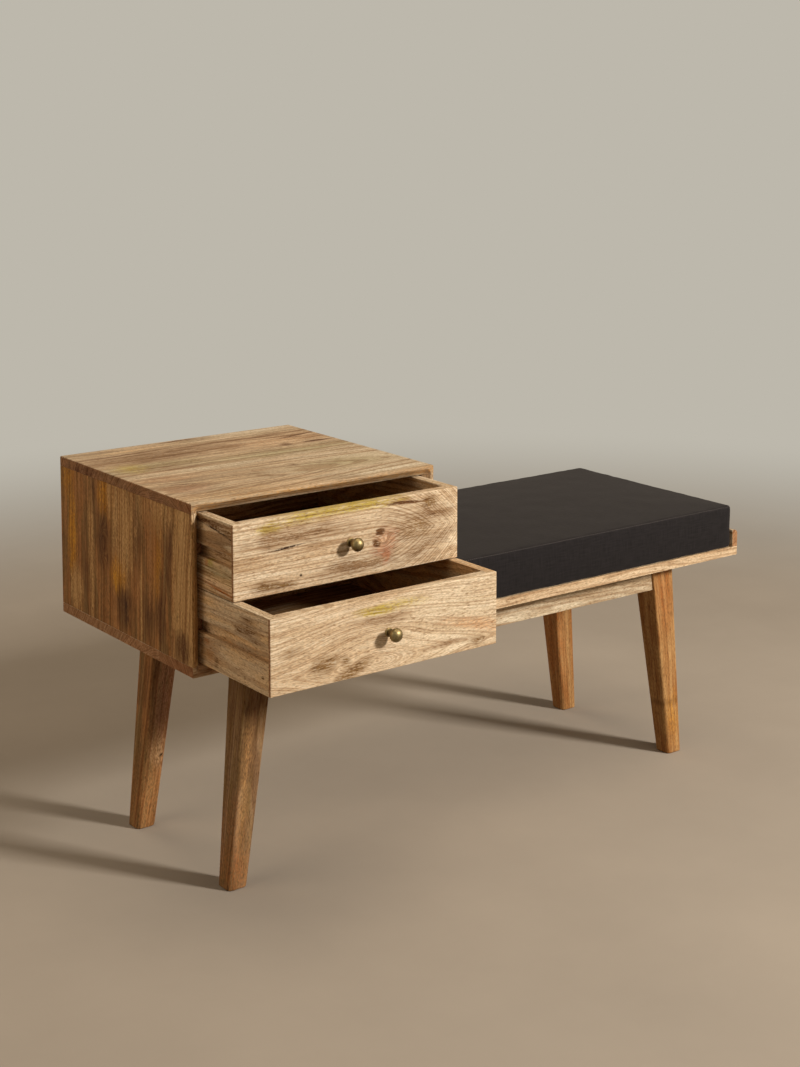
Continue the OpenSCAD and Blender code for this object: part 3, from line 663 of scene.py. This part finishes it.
class BENCH_OT_boards(bpy.types.Operator):
    """Eases the edges of every board and leg, and gives each its own mango wood"""

    bl_idname = "bench.boards"
    bl_label = "Boards and legs"

    def execute(self, context):
        tints, sizes = context.scene.bench_tints, context.scene.bench_sizes
        for seed, (node, board) in enumerate(BOARDS.items()):
            mesh, lean = eased_copy(node, sizes.ease, sizes.shortest), None
            if node.startswith("leg_"):
                foot, top = leg_ends(node)
                lean = (top - foot).normalized()
                stouter(mesh, foot, top, sizes.stout)
            wood = mango(f"Mango wood, {node}", board, *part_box(node), tints, seed, lean)
            stand_for(new_object(f"{node}_board", mesh, wood), node)
        return {"FINISHED"}


class BENCH_OT_panels(bpy.types.Operator):
    """Finishes the plywood panels, the dowels and the foam, which keep their CAD shape"""

    bl_idname = "bench.panels"
    bl_label = "Panels, dowels and foam"

    def execute(self, context):
        tints = context.scene.bench_tints
        floor = Board("X", "Y", ((0, "veneer"),), (120, -160), 0.02, ring=14, figure=0.8)
        rod = Board("Z", "X", ((0, "pale"),), (20, -60), figure=0.6)
        for node, kind, board, seed in (
            ("lower_floor", "Plywood", floor, 0), ("upper_floor", "Plywood", floor, 1),
            ("cabinet_back", "Plywood", floor._replace(across="Z"), 2),
            ("rail_dowels", "Beech dowel", rod, 0), ("cabinet_dowels", "Beech dowel", rod, 1),
        ):
            coat(node, mango(f"{kind}, {node}", board, *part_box(node), tints, seed))
        coat("cushion_foam", cut_foam(tints.foam))
        return {"FINISHED"}


# Cells per metre of the foam, the brass's tarnish and rubbing marks, the zinc's cloud and the
# floor's, which makes them 1.1, 4.5, 0.4, 2.9 and 600 mm across
FOAM_CELLS, TARNISH, RUBBING, ZINC_CLOUD, FLOOR_CLOUD = 900.0, 220.0, 2600.0, 350.0, 1.6


def cut_foam(colour):
    """Polyurethane foam, cut: pale and matt, with open cells of about a millimetre."""
    material, tree, surface = new_material("Cut foam")
    place = add(tree, PLACE).outputs["Object"]
    cells = add(tree, "ShaderNodeTexVoronoi", Vector=place, Scale=FOAM_CELLS).outputs["Distance"]
    bright = add(tree, RANGE, cells, To_Min=0.7, To_Max=1.05)
    shade = add(tree, VECTOR, tuple(colour), bright, operation="SCALE")
    bump = add(tree, BUMP, Distance=MM, Height=cells)
    feed(tree, surface, Base_Color=shade, Normal=bump, Roughness=0.95)
    return material


# Pointiness on a knob's ball and in its hollows, and how much the tarnish adds to them
BALL_AND_HOLLOW, TARNISH_SHARE = (0.53, 0.46), 0.7


def antique_brass(bright, patina):
    """Cast brass, turned, darkened and rubbed back: dark in the hollows, warm and half polished
    on the ball, with fine rubbing marks."""
    material, tree, surface = new_material("Antique brass, rubbed")
    place = add(tree, PLACE).outputs["Object"]
    cloud = add(tree, NOISE, place, TARNISH, 3.0)
    hollow = add(tree, "ShaderNodeNewGeometry").outputs["Pointiness"]
    dark = add(tree, RANGE, hollow, *BALL_AND_HOLLOW)
    worn = add(tree, MATH, cloud, TARNISH_SHARE, dark, operation="MULTIPLY_ADD", use_clamp=True)
    worn = add(tree, RANGE, worn, 0.3, 1.0)
    colour = add(tree, MIX, worn, alpha(bright), alpha(patina), data_type="RGBA")
    rub = add(tree, NOISE, place, RUBBING, 2.0)
    gloss = add(tree, RANGE, rub, To_Min=0.34, To_Max=0.56)
    bump = add(tree, BUMP, Strength=0.15, Distance=0.1 * MM, Height=rub)
    feed(tree, surface, Base_Color=colour, Roughness=gloss, Normal=bump, Metallic=1.0)
    return material


def zinc_plate(colour):
    """Steel, zinc plated: light grey metal, slightly clouded."""
    material, tree, surface = new_material("Zinc-plated steel")
    place = add(tree, PLACE).outputs["Object"]
    cloud = add(tree, NOISE, place, ZINC_CLOUD, 3.0)
    dull = add(tree, RANGE, cloud, To_Min=0.75, To_Max=1.1)
    shade = add(tree, VECTOR, tuple(colour), dull, operation="SCALE")
    gloss = add(tree, RANGE, cloud, To_Min=0.25, To_Max=0.5)
    feed(tree, surface, Base_Color=shade, Roughness=gloss, Metallic=1.0)
    return material


# Uneven threads: how many per metre, along the thread and across it, so 25 mm by 2 mm
SLUB = (40, 480)
# How much the weave shows against them, and where and how much the cushion's edges are painted
# paler: a painted highlight along its shoulders and seams
WEAVE_SHARE, PAINTED_EDGE_HIGHLIGHT = 0.12, (0.505, 0.56, 1.0, 2.2)


def woven_cloth(colour, pitch):
    """Cotton canvas, charcoal, plain weave: matt, with uneven threads, and paler at a glancing
    angle from its short fibres. Its edges are painted paler, a painted highlight where light
    catches the cushion's shoulders."""
    material, tree, surface = new_material("Charcoal cotton canvas")
    flat = add(tree, "ShaderNodeUVMap", uv_map="cloth")
    threads = add(tree, SIDES, add(tree, VECTOR, flat, pi / pitch, operation="SCALE"))
    warp, weft = (add(tree, MATH, threads.outputs[side], operation="SINE") for side in "XY")
    weave = add(tree, MATH, warp, weft, operation="MULTIPLY")
    slub = 0.0
    for size in (SLUB, SLUB[::-1]):
        part = add(tree, MAPPING, Vector=flat, Scale=(*size, 1))
        slub = add(tree, MATH, slub, add(tree, NOISE, part, 1.0, 1.0), operation="ADD")
    uneven = add(tree, MATH, weave, WEAVE_SHARE, slub, operation="MULTIPLY_ADD")
    bright = add(tree, RANGE, uneven, 0.65, 1.35, 0.5, 1.6)
    # Painted highlight: the pointed places, the cushion's edges and seams, are made paler as if
    # light caught them
    edge = add(tree, "ShaderNodeNewGeometry").outputs["Pointiness"]
    edge = add(tree, RANGE, edge, *PAINTED_EDGE_HIGHLIGHT)
    bright = add(tree, MATH, bright, edge, operation="MULTIPLY")
    shade = add(tree, VECTOR, tuple(colour), bright, operation="SCALE")
    bump = add(tree, BUMP, Strength=0.6, Distance=0.25 * MM, Height=uneven)
    feed(
        tree, surface, Base_Color=shade, Normal=bump, Roughness=0.9, Specular_IOR_Level=0.2,
        Sheen_Weight=0.08, Sheen_Roughness=0.5, Sheen_Tint=alpha(linear("#b8aca0")),
    )
    return material


def sewing_thread(colour, pitch):
    """Polyester sewing thread, twisted: a soft gloss that catches the light along a seam."""
    material, tree, surface = new_material("Polyester sewing thread")
    place = add(tree, PLACE).outputs["Object"]
    twist = add(tree, "ShaderNodeTexWave", Vector=place, Scale=1 / pitch).outputs["Fac"]
    bright = add(tree, RANGE, twist, To_Min=0.7, To_Max=1.1)
    shade = add(tree, VECTOR, tuple(colour), bright, operation="SCALE")
    feed(tree, surface, Base_Color=shade, Roughness=0.45)
    return material


def lathe(name, profile, centre, steps=64):
    """A closed turned mesh: radius and height pairs in millimetres, turned round the -Y axis."""
    shape = bmesh.new()
    turn = [2 * pi * i / steps for i in range(steps)]
    rings = []
    for r, h in profile:
        points = [(r * cos(a), -h, r * sin(a)) for a in turn] if r else [(0, -h, 0)]
        rings.append([shape.verts.new(centre + Vector(point) * MM) for point in points])
    for low, high in zip(rings, rings[1:]):
        for i in range(steps):
            j = (i + 1) % steps
            corners = low[i % len(low)], low[j % len(low)], high[j % len(high)], high[i % len(high)]
            unique = list(dict.fromkeys(corners))
            if len(unique) > 2:
                shape.faces.new(unique)
    return finished_mesh(name, shape, smooth=True)


# A knob's foot with its bead, and its hollowed neck: radius and height in millimetres
KNOB_FOOT = (
    (0, 0), (6.2, 0), (6.5, 0.3), (6.5, 1.3), (6.2, 1.7), (5.6, 1.9), (5.5, 2.1), (5.2, 2.3),
    (4.6, 2.9), (4.2, 3.8), (4.0, 5.2), (4.0, 7.2), (4.1, 8.6),
)
# Length of the knob's slightly flat ball in millimetres
KNOB_BALL = 15


def knob_profile(length_mm, across_mm):
    """A knob's outline from its foot to the tip of its ball."""
    centre = length_mm - KNOB_BALL / 2
    ball = []
    for degrees in range(-62, 90, 4):
        a = radians(degrees)
        ball.append((across_mm / 2 * cos(a), centre + KNOB_BALL / 2 * sin(a)))
    return [*KNOB_FOOT, *ball, (0, length_mm)]


class BENCH_OT_knobs(bpy.types.Operator):
    """Turns the two brass knobs"""

    bl_idname = "bench.knobs"
    bl_label = "Knobs"

    def execute(self, context):
        tints = context.scene.bench_tints
        brass = antique_brass(tints.brass, tints.patina)
        for node in ("lower_knob", "upper_knob"):
            low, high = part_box(node)
            centre = Vector(((low.x + high.x) / 2, high.y, (low.z + high.z) / 2))
            profile = knob_profile((high.y - low.y) / MM, (high.x - low.x) / MM)
            stand_for(new_object(f"{node}_turned", lathe(node, profile, centre), brass), node)
        return {"FINISHED"}


def islands(node):
    """The separate solids of a CAD node, as lists of points."""
    shape = welded_copy(node)
    left, found = set(shape.verts), []
    while left:
        queue, island = [left.pop()], []
        while queue:
            vert = queue.pop()
            island.append(vert.co.copy())
            near = {edge.other_vert(vert) for edge in vert.link_edges} & left
            left -= near
            queue += near
        found.append(island)
    shape.free()
    return found


def screw_heads(node):
    """Where each screw of a CAD node has the middle of its head, which way the head faces, and
    how long the screw is. The head is the wider end."""
    heads = []
    for points in islands(node):
        low, high = extent(points)
        long = max(range(3), key=lambda i: high[i] - low[i])
        axis = AXES["XYZ"[long]]
        middle = (low + high) / 2
        wide = {}
        for side, end in (-1, low), (1, high):
            rim = [p - middle for p in points if abs(p[long] - end[long]) < CLOSE]
            wide[side] = max((p - p.project(axis)).length for p in rim)
        side = max(wide, key=wide.get)
        middle[long] = (high if side > 0 else low)[long]
        heads.append((middle, axis * side, high[long] - low[long]))
    return sorted(heads, key=lambda head: tuple(round(c, 4) for c in head[0]))


def group(name, *sockets):
    """An empty geometry node group with named inputs, and the sockets that they give."""
    tree = bpy.data.node_groups.new(name, "GeometryNodeTree")
    tree.interface.new_socket("Geometry", in_out="OUTPUT", socket_type="NodeSocketGeometry")
    for label, kind in sockets:
        tree.interface.new_socket(label, in_out="INPUT", socket_type=f"NodeSocket{kind}")
    return tree, tree.nodes.new("NodeGroupInput").outputs


def close_group(tree, geometry, material):
    """Ends a group with real geometry in its material."""
    real = add(tree, "GeometryNodeRealizeInstances", geometry)
    done = add(tree, "GeometryNodeSetMaterial", Geometry=real, Material=material)
    add(tree, "NodeGroupOutput", done)
    return tree


# A countersunk screw: radius of its head and shank, and height of its head
SCREW_HEAD, SCREW_SHANK, SCREW_SINK = 4 * MM, 2 * MM, 2.4 * MM
# A screw's cross: its length as a share of the head's radius, twice its depth as one of the height
CROSS_LENGTH, CROSS_DEPTH = 1.15, 1.4


def screw_group():
    """Countersunk screws with a cross recess, one on each point, along the point's axis."""
    tree, given = group(
        "Countersunk screws", ("Geometry", "Geometry"), ("Head Radius", "Float"),
        ("Shank Radius", "Float"), ("Head Height", "Float"), ("Length", "Float"),
        ("Recess Width", "Float"), ("Seed", "Int"), ("Material", "Material"),
    )
    drop = add(tree, MATH, given["Head Height"], -1.0, operation="MULTIPLY")
    head = add(
        tree, "GeometryNodeMeshCone", Vertices=32, Radius_Top=given["Head Radius"],
        Radius_Bottom=given["Shank Radius"], Depth=given["Head Height"],
    )
    shank = add(
        tree, "GeometryNodeMeshCylinder", Vertices=20, Radius=given["Shank Radius"],
        Depth=given["Length"],
    )
    half = add(tree, MATH, given["Length"], -0.5, operation="MULTIPLY")
    below = add(tree, MATH, half, given["Recess Width"], operation="SUBTRACT")
    head, shank = (
        add(tree, "GeometryNodeTransform", part, Translation=add(tree, JOINED, Z=down))
        for part, down in ((head, drop), (shank, below))
    )
    arm = add(tree, MATH, given["Head Radius"], CROSS_LENGTH, operation="MULTIPLY")
    deep = add(tree, MATH, given["Head Height"], CROSS_DEPTH, operation="MULTIPLY")
    cut = add(tree, "GeometryNodeMeshBoolean", head, operation="DIFFERENCE", solver="EXACT")
    for sides in (arm, given["Recess Width"], deep), (given["Recess Width"], arm, deep):
        bar = add(tree, "GeometryNodeMeshCube", add(tree, JOINED, *sides))
        feed(tree, cut, Mesh_2=bar)
    whole = add(tree, "GeometryNodeJoinGeometry", shank)
    feed(tree, whole, cut)
    axis = add(tree, "GeometryNodeInputNamedAttribute", data_type="FLOAT_VECTOR", Name="axis")
    upright = add(tree, "FunctionNodeAlignRotationToVector", axis="Z", Vector=axis)
    spin = add(tree, "FunctionNodeRandomValue", data_type="FLOAT", Max=pi, Seed=given["Seed"])
    spin = add(tree, JOINED, Z=spin)
    turned = add(
        tree, "FunctionNodeRotateRotation", upright, rotation_space="LOCAL", Rotate_By=spin
    )
    placed = add(
        tree, "GeometryNodeInstanceOnPoints", given["Geometry"], Instance=whole, Rotation=turned
    )
    return close_group(tree, placed, given["Material"])


# Radius of the sewing thread, and half a stitch's length as a share of its pitch
THREAD_RADIUS, STITCH_SHARE = 0.4 * MM, 0.36


def stitch_group():
    """Short threads that follow a seam."""
    tree, given = group(
        "Seam stitches", ("Geometry", "Geometry"), ("Pitch", "Float"),
        ("Thread Radius", "Float"), ("Material", "Material"),
    )
    line = add(tree, "GeometryNodeMeshToCurve", given["Geometry"])
    even = add(
        tree, "GeometryNodeResampleCurve", mode="LENGTH", Curve=line, Length=given["Pitch"]
    )
    thread = add(
        tree, "GeometryNodeMeshUVSphere", Segments=6, Rings=4, Radius=given["Thread Radius"]
    )
    long = add(tree, MATH, given["Pitch"], given["Thread Radius"], operation="DIVIDE")
    long = add(tree, MATH, long, STITCH_SHARE, operation="MULTIPLY")
    size = add(tree, JOINED, 1.0, 1.0, long)
    way = add(tree, "GeometryNodeInputTangent")
    along = add(tree, "FunctionNodeAlignRotationToVector", axis="Z", Vector=way)
    placed = add(
        tree, "GeometryNodeInstanceOnPoints", even, Instance=thread, Rotation=along, Scale=size
    )
    return close_group(tree, placed, given["Material"])


def grow(name, base, tree, values):
    """Runs a geometry node group on a base mesh and returns the result as a plain mesh."""
    holder = new_object(f"{name}_base", base)
    modifier = holder.modifiers.new("Grow", "NODES")
    modifier.node_group = tree
    ids = {s.name: s.identifier for s in tree.interface.items_tree if s.in_out == "INPUT"}
    for label, value in values.items():
        modifier[ids[label]] = value
    holder.update_tag()
    mesh = shown_mesh(name, holder)
    bpy.data.objects.remove(holder)
    return mesh


def shown_mesh(name, piece):
    """A plain mesh of a piece as its modifiers show it."""
    bpy.context.view_layer.update()
    seen = piece.evaluated_get(bpy.context.evaluated_depsgraph_get())
    mesh = bpy.data.meshes.new_from_object(seen)
    mesh.name = name
    return mesh


# Screws that get cross heads, and fasteners that keep their CAD shape
SCREWS = ("rail_screws", "runner_screws", "lip_screws", "back_screws")
PLATED = ("leg_bolts", "leg_washers", "leg_nuts", "lower_knob_screw", "upper_knob_screw")


class BENCH_OT_fasteners(bpy.types.Operator):
    """Sets a cross-head screw in the place of each plain one, and plates the other fasteners"""

    bl_idname = "bench.fasteners"
    bl_label = "Screws, bolts and nuts"

    def execute(self, context):
        zinc = zinc_plate(context.scene.bench_tints.zinc)
        tree = screw_group()
        for seed, node in enumerate(SCREWS):
            places, axes, lengths = zip(*screw_heads(node))
            points = bpy.data.meshes.new(f"{node}_points")
            points.from_pydata(places, [], [])
            axis = points.attributes.new("axis", "FLOAT_VECTOR", "POINT")
            for i, way in enumerate(axes):
                axis.data[i].vector = way
            mesh = grow(node, points, tree, {
                "Head Radius": SCREW_HEAD, "Shank Radius": SCREW_SHANK, "Head Height": SCREW_SINK,
                "Length": lengths[0] - SCREW_SINK, "Seed": seed, "Material": zinc,
                "Recess Width": context.scene.bench_sizes.recess,
            })
            stand_for(new_object(f"{node}_crosshead", mesh), node)
        for node in PLATED:
            coat(node, zinc)
        return {"FINISHED"}


def even_places(low, high, cell, rim):
    """Even places from low to high, with closer ones at the rims."""
    inner = high - low - 2 * sum(rim)
    count = max(2, round(inner / cell))
    middle = [low + sum(rim) + inner * i / count for i in range(count + 1)]
    head, tail = [low], [high]
    for gap in rim[:-1]:
        head.append(head[-1] + gap)
        tail.insert(0, tail[0] - gap)
    return head + middle + tail


def round_pair(p, q, radius):
    """Moves a point of a square corner onto its round: p and q are measured in from both sides."""
    a, b = radius - p, radius - q
    if a <= 0 or b <= 0:
        return p, q
    shrink = max(a, b) / hypot(a, b)
    return radius - a * shrink, radius - b * shrink


# Space left between the cushion and the end lip that it leans on
LIP_PLAY = 0.4 * MM
# Width of the cover's first squares, from a seam inwards
RIM = (3.2 * MM, 4.2 * MM, 6 * MM)
# Two lengths that differ by less than this are the same
SAME = 1e-9


def cushion_cage(low, high, sizes):
    """The cushion's cover before it is plumped: panels of squares that meet at the seams. Also
    gives which points lie on a seam, in order round the top and round the bottom."""
    spans = [even_places(low[i], high[i], sizes.cell, RIM) for i in range(3)]
    last = [len(s) - 1 for s in spans]
    shape = bmesh.new()
    cloth = shape.loops.layers.uv.new("cloth")
    verts, before = {}, {}

    def vert(key):
        if key not in verts:
            before[key] = [span[i] for span, i in zip(spans, key)]
            x, y, z = inward(before[key], low, high)
            inset, deep = round_pair(min(x, y), z, sizes.shoulder)
            push = max(inset - min(x, y), 0)
            x, y = x + (push if x <= y + SAME else 0), y + (push if y <= x + SAME else 0)
            ins = (*round_pair(x, y, sizes.corner), deep)
            verts[key] = shape.verts.new([
                low[n] + ins[n] if key[n] * 2 < last[n] else high[n] - ins[n] for n in range(3)
            ])
        return verts[key]

    for axis in range(3):
        a, b = [n for n in range(3) if n != axis]
        squares = [(i, j) for i in range(last[a]) for j in range(last[b])]
        for end in (0, last[axis]):
            for i, j in squares:
                keys = []
                for di, dj in ((0, 0), (1, 0), (1, 1), (0, 1)):
                    key = [0, 0, 0]
                    key[axis], key[a], key[b] = end, i + di, j + dj
                    keys.append(tuple(key))
                face = shape.faces.new([vert(key) for key in keys])
                for loop, key in zip(face.loops, keys):
                    loop[cloth].uv = (before[key][a], before[key][b])
    shape.verts.index_update()
    rims = []
    for k in (0, last[2]):
        around = [(i, 0, k) for i in range(last[0])] + [(last[0], j, k) for j in range(last[1])]
        around += [(i, last[1], k) for i in range(last[0], 0, -1)]
        around += [(0, j, k) for j in range(last[1], 0, -1)]
        rims.append([verts[key].index for key in around])
    return finished_mesh("cushion", shape, smooth=True), rims


# How the cover behaves while it is plumped
CLOTH = {
    "quality": 6, "mass": 0.25, "tension_stiffness": 25, "compression_stiffness": 25,
    "shear_stiffness": 8, "bending_stiffness": 0.6, "use_pressure": True,
    "vertex_group_mass": "seams", "pin_stiffness": 3,
}
PLUMP_STEPS = 20
# How firmly the cover is held at its seams, and on the board
SEAM_HOLD, BOARD_HOLD = 0.75, 1.0


def plump(piece, pressure):
    """Blows the cover up by cloth simulation and returns where each point went."""
    scene = bpy.context.scene
    modifier = piece.modifiers.new("Plump", "CLOTH")
    for key, value in CLOTH.items():
        setattr(modifier.settings, key, value)
    modifier.settings.uniform_pressure_force = pressure
    modifier.settings.effector_weights.gravity = 0
    modifier.collision_settings.use_collision = False
    modifier.point_cache.frame_start, modifier.point_cache.frame_end = 1, PLUMP_STEPS
    for step in range(PLUMP_STEPS):
        scene.frame_set(step + 1)
    seen = piece.evaluated_get(bpy.context.evaluated_depsgraph_get())
    moved = [v.co.copy() for v in seen.data.vertices]
    piece.modifiers.remove(modifier)
    scene.frame_set(1)
    return moved


# Size and height of the small puckers and of the soft waves in the cover
PUCKER, PUCKER_HEIGHT = 14 * MM, 1.1 * MM
WAVE, WAVE_HEIGHT = 45 * MM, 0.5 * MM
# Spacing of the twist in the sewing thread
TWIST = 0.5 * MM


class BENCH_OT_cushion(bpy.types.Operator):
    """Sews and plumps the seat cushion: cloth simulation, then puckers and stitches on its seams"""

    bl_idname = "bench.cushion"
    bl_label = "Cushion"

    def execute(self, context):
        sizes, tints = context.scene.bench_sizes, context.scene.bench_tints
        low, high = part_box("cushion_cover")
        inner, top = Vector((sizes.swell, sizes.swell, 0)), Vector((0, 0, sizes.crown))
        snug, flush = Vector((sizes.snug, 0, 0)), Vector((0, sizes.flush, 0))
        mesh, rims = cushion_cage(low + inner - flush, high - inner - top + snug, sizes)
        piece = new_object("cushion", mesh, woven_cloth(tints.charcoal, sizes.thread))
        self.pin(piece, low, rims)
        self.shape(piece, plump(piece, sizes.pressure), sizes)
        self.smooth(piece, sizes)
        board, lip = low.z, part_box("end_lip")[0].x - LIP_PLAY
        for v in piece.data.vertices:
            v.co.z, v.co.x = max(v.co.z, board), min(v.co.x, lip)
        self.stitch(piece, rims, sewing_thread(tints.sewing, TWIST), sizes)
        stand_for(piece, "cushion_cover")
        return {"FINISHED"}

    def pin(self, piece, low, rims):
        """Seams hardly stretch, and the underside lies on the board."""
        seams, points = piece.vertex_groups.new(name="seams"), piece.data.vertices
        seams.add(list(range(len(points))), 0.0, "REPLACE")
        under = [v.index for v in points if v.co.z < low.z + CLOSE]
        seams.add(under, BOARD_HOLD, "REPLACE")
        for rim in rims:
            seams.add(rim, SEAM_HOLD, "REPLACE")

    def shape(self, piece, moved, sizes):
        """Moves each point the way the simulation went, as far as the crown and the swell allow."""
        points = piece.data.vertices
        gone = [new - old.co for new, old in zip(moved, points)]
        up = max(d.z for d in gone)
        out = max(max(abs(d.x), abs(d.y)) for d in gone)
        side, rise = (min(1, most / far) if far > 0 else 0 for most, far in (
            (sizes.swell, out), (sizes.crown, up),
        ))
        for old, d in zip(points, gone):
            old.co += Vector((d.x * side, d.y * side, d.z * rise))

    def smooth(self, piece, sizes):
        """Subdivides the cover once, and puckers it along its seams."""
        finer = piece.modifiers.new("Finer", "SUBSURF")
        finer.levels = finer.render_levels = 1
        mesh = shown_mesh("cushion_cover", piece)
        piece.modifiers.remove(finer)
        piece.data = mesh
        low, high = extent([v.co for v in mesh.vertices])
        normals = [v.normal.copy() for v in mesh.vertices]
        for v, normal in zip(mesh.vertices, normals):
            uneven = noise.noise(v.co / PUCKER)
            x, y, z = inward(v.co, low, high)
            near = max(0, 1 - hypot(min(x, y), z) / sizes.pucker)
            wave = WAVE_HEIGHT * noise.noise(v.co / WAVE)
            v.co += normal * (wave + PUCKER_HEIGHT * near * uneven)
        piece.vertex_groups.clear()

    def stitch(self, piece, rims, thread, sizes):
        """Lays stitches along each seam."""
        path = bpy.data.meshes.new("seam_path")
        points, edges = [], []
        for rim in rims:
            first, count = len(points), len(rim)
            points += [piece.data.vertices[i].co.copy() for i in rim]
            edges += [(first + i, first + (i + 1) % count) for i in range(count)]
        path.from_pydata(points, edges, [])
        mesh = grow("cushion_stitches", path, stitch_group(), {
            "Pitch": sizes.stitch, "Thread Radius": THREAD_RADIUS, "Material": thread,
        })
        stitches = new_object("cushion_stitches", mesh)
        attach(stitches, BODIES["cushion_cover"])


# The photograph's camera, found from the corners of the bench: place, turn, lens and shift
CAMERA_PLACE = (-1.78407, -2.22609, 1.18593)
CAMERA_YAW = 0.64385
CAMERA_DOWN = 0.11079
CAMERA_LENS = 60.967
CAMERA_FILM = 36
CAMERA_SHIFT = -0.24
# Degrees turned from the front to the right, degrees raised, metres away and metres across
LAMPS = {
    "key": (30, 24, 4.6, 0.6), "over": (20, 72, 3.4, 2.4),
    "side": (-98, 22, 3.6, 2.4), "back": (190, 42, 4.0, 1.6),
}
# The middle of the bench, which the lamps look at
MIDDLE = Vector((0, 0, 0.4))
FLOOR_RADIUS = 40
# Metres from the bench's middle at which the floor starts to fade and has gone
FADE = (1.3, 3.2)


def soft_lamp(name, turn, rise, away, size, power, colour):
    """A square lamp that looks at the bench, and that the camera doesn't see."""
    lamp = bpy.data.lights.new(name, "AREA")
    lamp.size, lamp.energy, lamp.color = size, power, colour
    holder = new_object(name, lamp)
    a, e = radians(turn), radians(rise)
    way = Vector((sin(a) * cos(e), -cos(a) * cos(e), sin(e)))
    holder.location = MIDDLE + way * away
    holder.rotation_euler = way.to_track_quat("Z", "Y").to_euler()
    holder.visible_camera = False


def pale_floor(colour, backdrop):
    """A plain pale floor, troweled and sealed: faintly clouded, and fading into the backdrop a
    few steps behind the bench, for the camera and for reflections only."""
    material, tree, surface = new_material("Pale sealed floor")
    place = add(tree, PLACE).outputs["Object"]
    cloud = add(tree, NOISE, place, FLOOR_CLOUD, 5.0, Roughness=0.6)
    bright = add(tree, RANGE, cloud, 0.3, 0.7, 0.93, 1.06)
    shade = add(tree, VECTOR, tuple(colour), bright, operation="SCALE")
    feed(tree, surface, Base_Color=shade, Roughness=0.9, Specular_IOR_Level=0.1)
    far = add(tree, VECTOR, place, operation="LENGTH")
    fade = add(tree, RANGE, far, *FADE, interpolation_type="SMOOTHSTEP")
    ray = add(tree, "ShaderNodeLightPath").outputs
    seen = add(tree, MATH, ray["Is Camera Ray"], ray["Is Glossy Ray"], operation="MAXIMUM")
    fade = add(tree, MATH, fade, seen, operation="MULTIPLY")
    glow = add(tree, "ShaderNodeEmission", alpha(backdrop))
    mixed = add(tree, "ShaderNodeMixShader", fade, surface, glow)
    output = next(n for n in tree.nodes if n.bl_idname == "ShaderNodeOutputMaterial")
    feed(tree, output, mixed)
    return material


class BENCH_OT_stage(bpy.types.Operator):
    """Sets up the plain floor, the soft studio light and the camera"""

    bl_idname = "bench.stage"
    bl_label = "Stage"

    def execute(self, context):
        scene, stage = context.scene, context.scene.bench_stage
        disc = bmesh.new()
        bmesh.ops.create_circle(disc, cap_ends=True, segments=96, radius=FLOOR_RADIUS)
        floor = finished_mesh("floor", disc)
        new_object("floor", floor, pale_floor(stage.floor, stage.wall))

        world = bpy.data.worlds.new("Studio")
        world.use_nodes = True
        tree = world.node_tree
        tree.nodes.clear()
        ray = add(tree, "ShaderNodeLightPath").outputs
        seen = ray["Is Camera Ray"]
        for kind in ("Is Transmission Ray", "Is Glossy Ray"):
            seen = add(tree, MATH, seen, ray[kind], operation="MAXIMUM")
        fill, wall = (
            add(tree, "ShaderNodeBackground", alpha(colour), strength)
            for colour, strength in ((stage.sky, stage.fill), (stage.wall, 1.0))
        )
        add(tree, "ShaderNodeOutputWorld", add(tree, "ShaderNodeMixShader", seen, fill, wall))
        scene.world = world

        for name, place in LAMPS.items():
            light = stage.sun if name == "key" else stage.sky
            soft_lamp(name, *place, getattr(stage, name), light)

        lens = bpy.data.cameras.new("photo")
        lens.lens, lens.sensor_width, lens.shift_y = CAMERA_LENS, CAMERA_FILM, CAMERA_SHIFT
        scene.camera = new_object("photo", lens)
        scene.camera.location = CAMERA_PLACE
        scene.camera.rotation_euler = (pi / 2 - CAMERA_DOWN, 0, -CAMERA_YAW)
        scene.view_settings.view_transform = "Standard"
        return {"FINISHED"}


STEPS = (
    BENCH_OT_stage, BENCH_OT_boards, BENCH_OT_panels, BENCH_OT_knobs, BENCH_OT_fasteners,
    BENCH_OT_cushion,
)


class BENCH_PT_looks(bpy.types.Panel):
    """Lists the bench's pieces and what can be changed on them"""

    bl_label = "Telephone bench"
    bl_idname = "BENCH_PT_looks"
    bl_space_type = "VIEW_3D"
    bl_region_type = "UI"
    bl_category = "Bench"

    def draw(self, context):
        layout, scene = self.layout, context.scene
        for step in STEPS:
            layout.operator(step.bl_idname)
        for values in (scene.bench_sizes, scene.bench_stage, scene.bench_tints):
            box = layout.box()
            for name in values.bl_rna.properties.keys():
                if name not in ("rna_type", "name"):
                    box.prop(values, name)


GROUPS = {"bench_tints": BenchTints, "bench_sizes": BenchSizes, "bench_stage": BenchStage}


def register():
    for cls in (*GROUPS.values(), *STEPS, BENCH_PT_looks):
        bpy.utils.register_class(cls)
    for name, cls in GROUPS.items():
        setattr(bpy.types.Scene, name, bpy.props.PointerProperty(type=cls))


def unregister():
    for name in GROUPS:
        delattr(bpy.types.Scene, name)
    for cls in reversed((*GROUPS.values(), *STEPS, BENCH_PT_looks)):
        bpy.utils.unregister_class(cls)


def main():
    """Builds everything."""
    register()
    for step in STEPS:
        family, name = step.bl_idname.split(".")
        getattr(getattr(bpy.ops, family), name)()


if __name__ == "__main__":
    main()
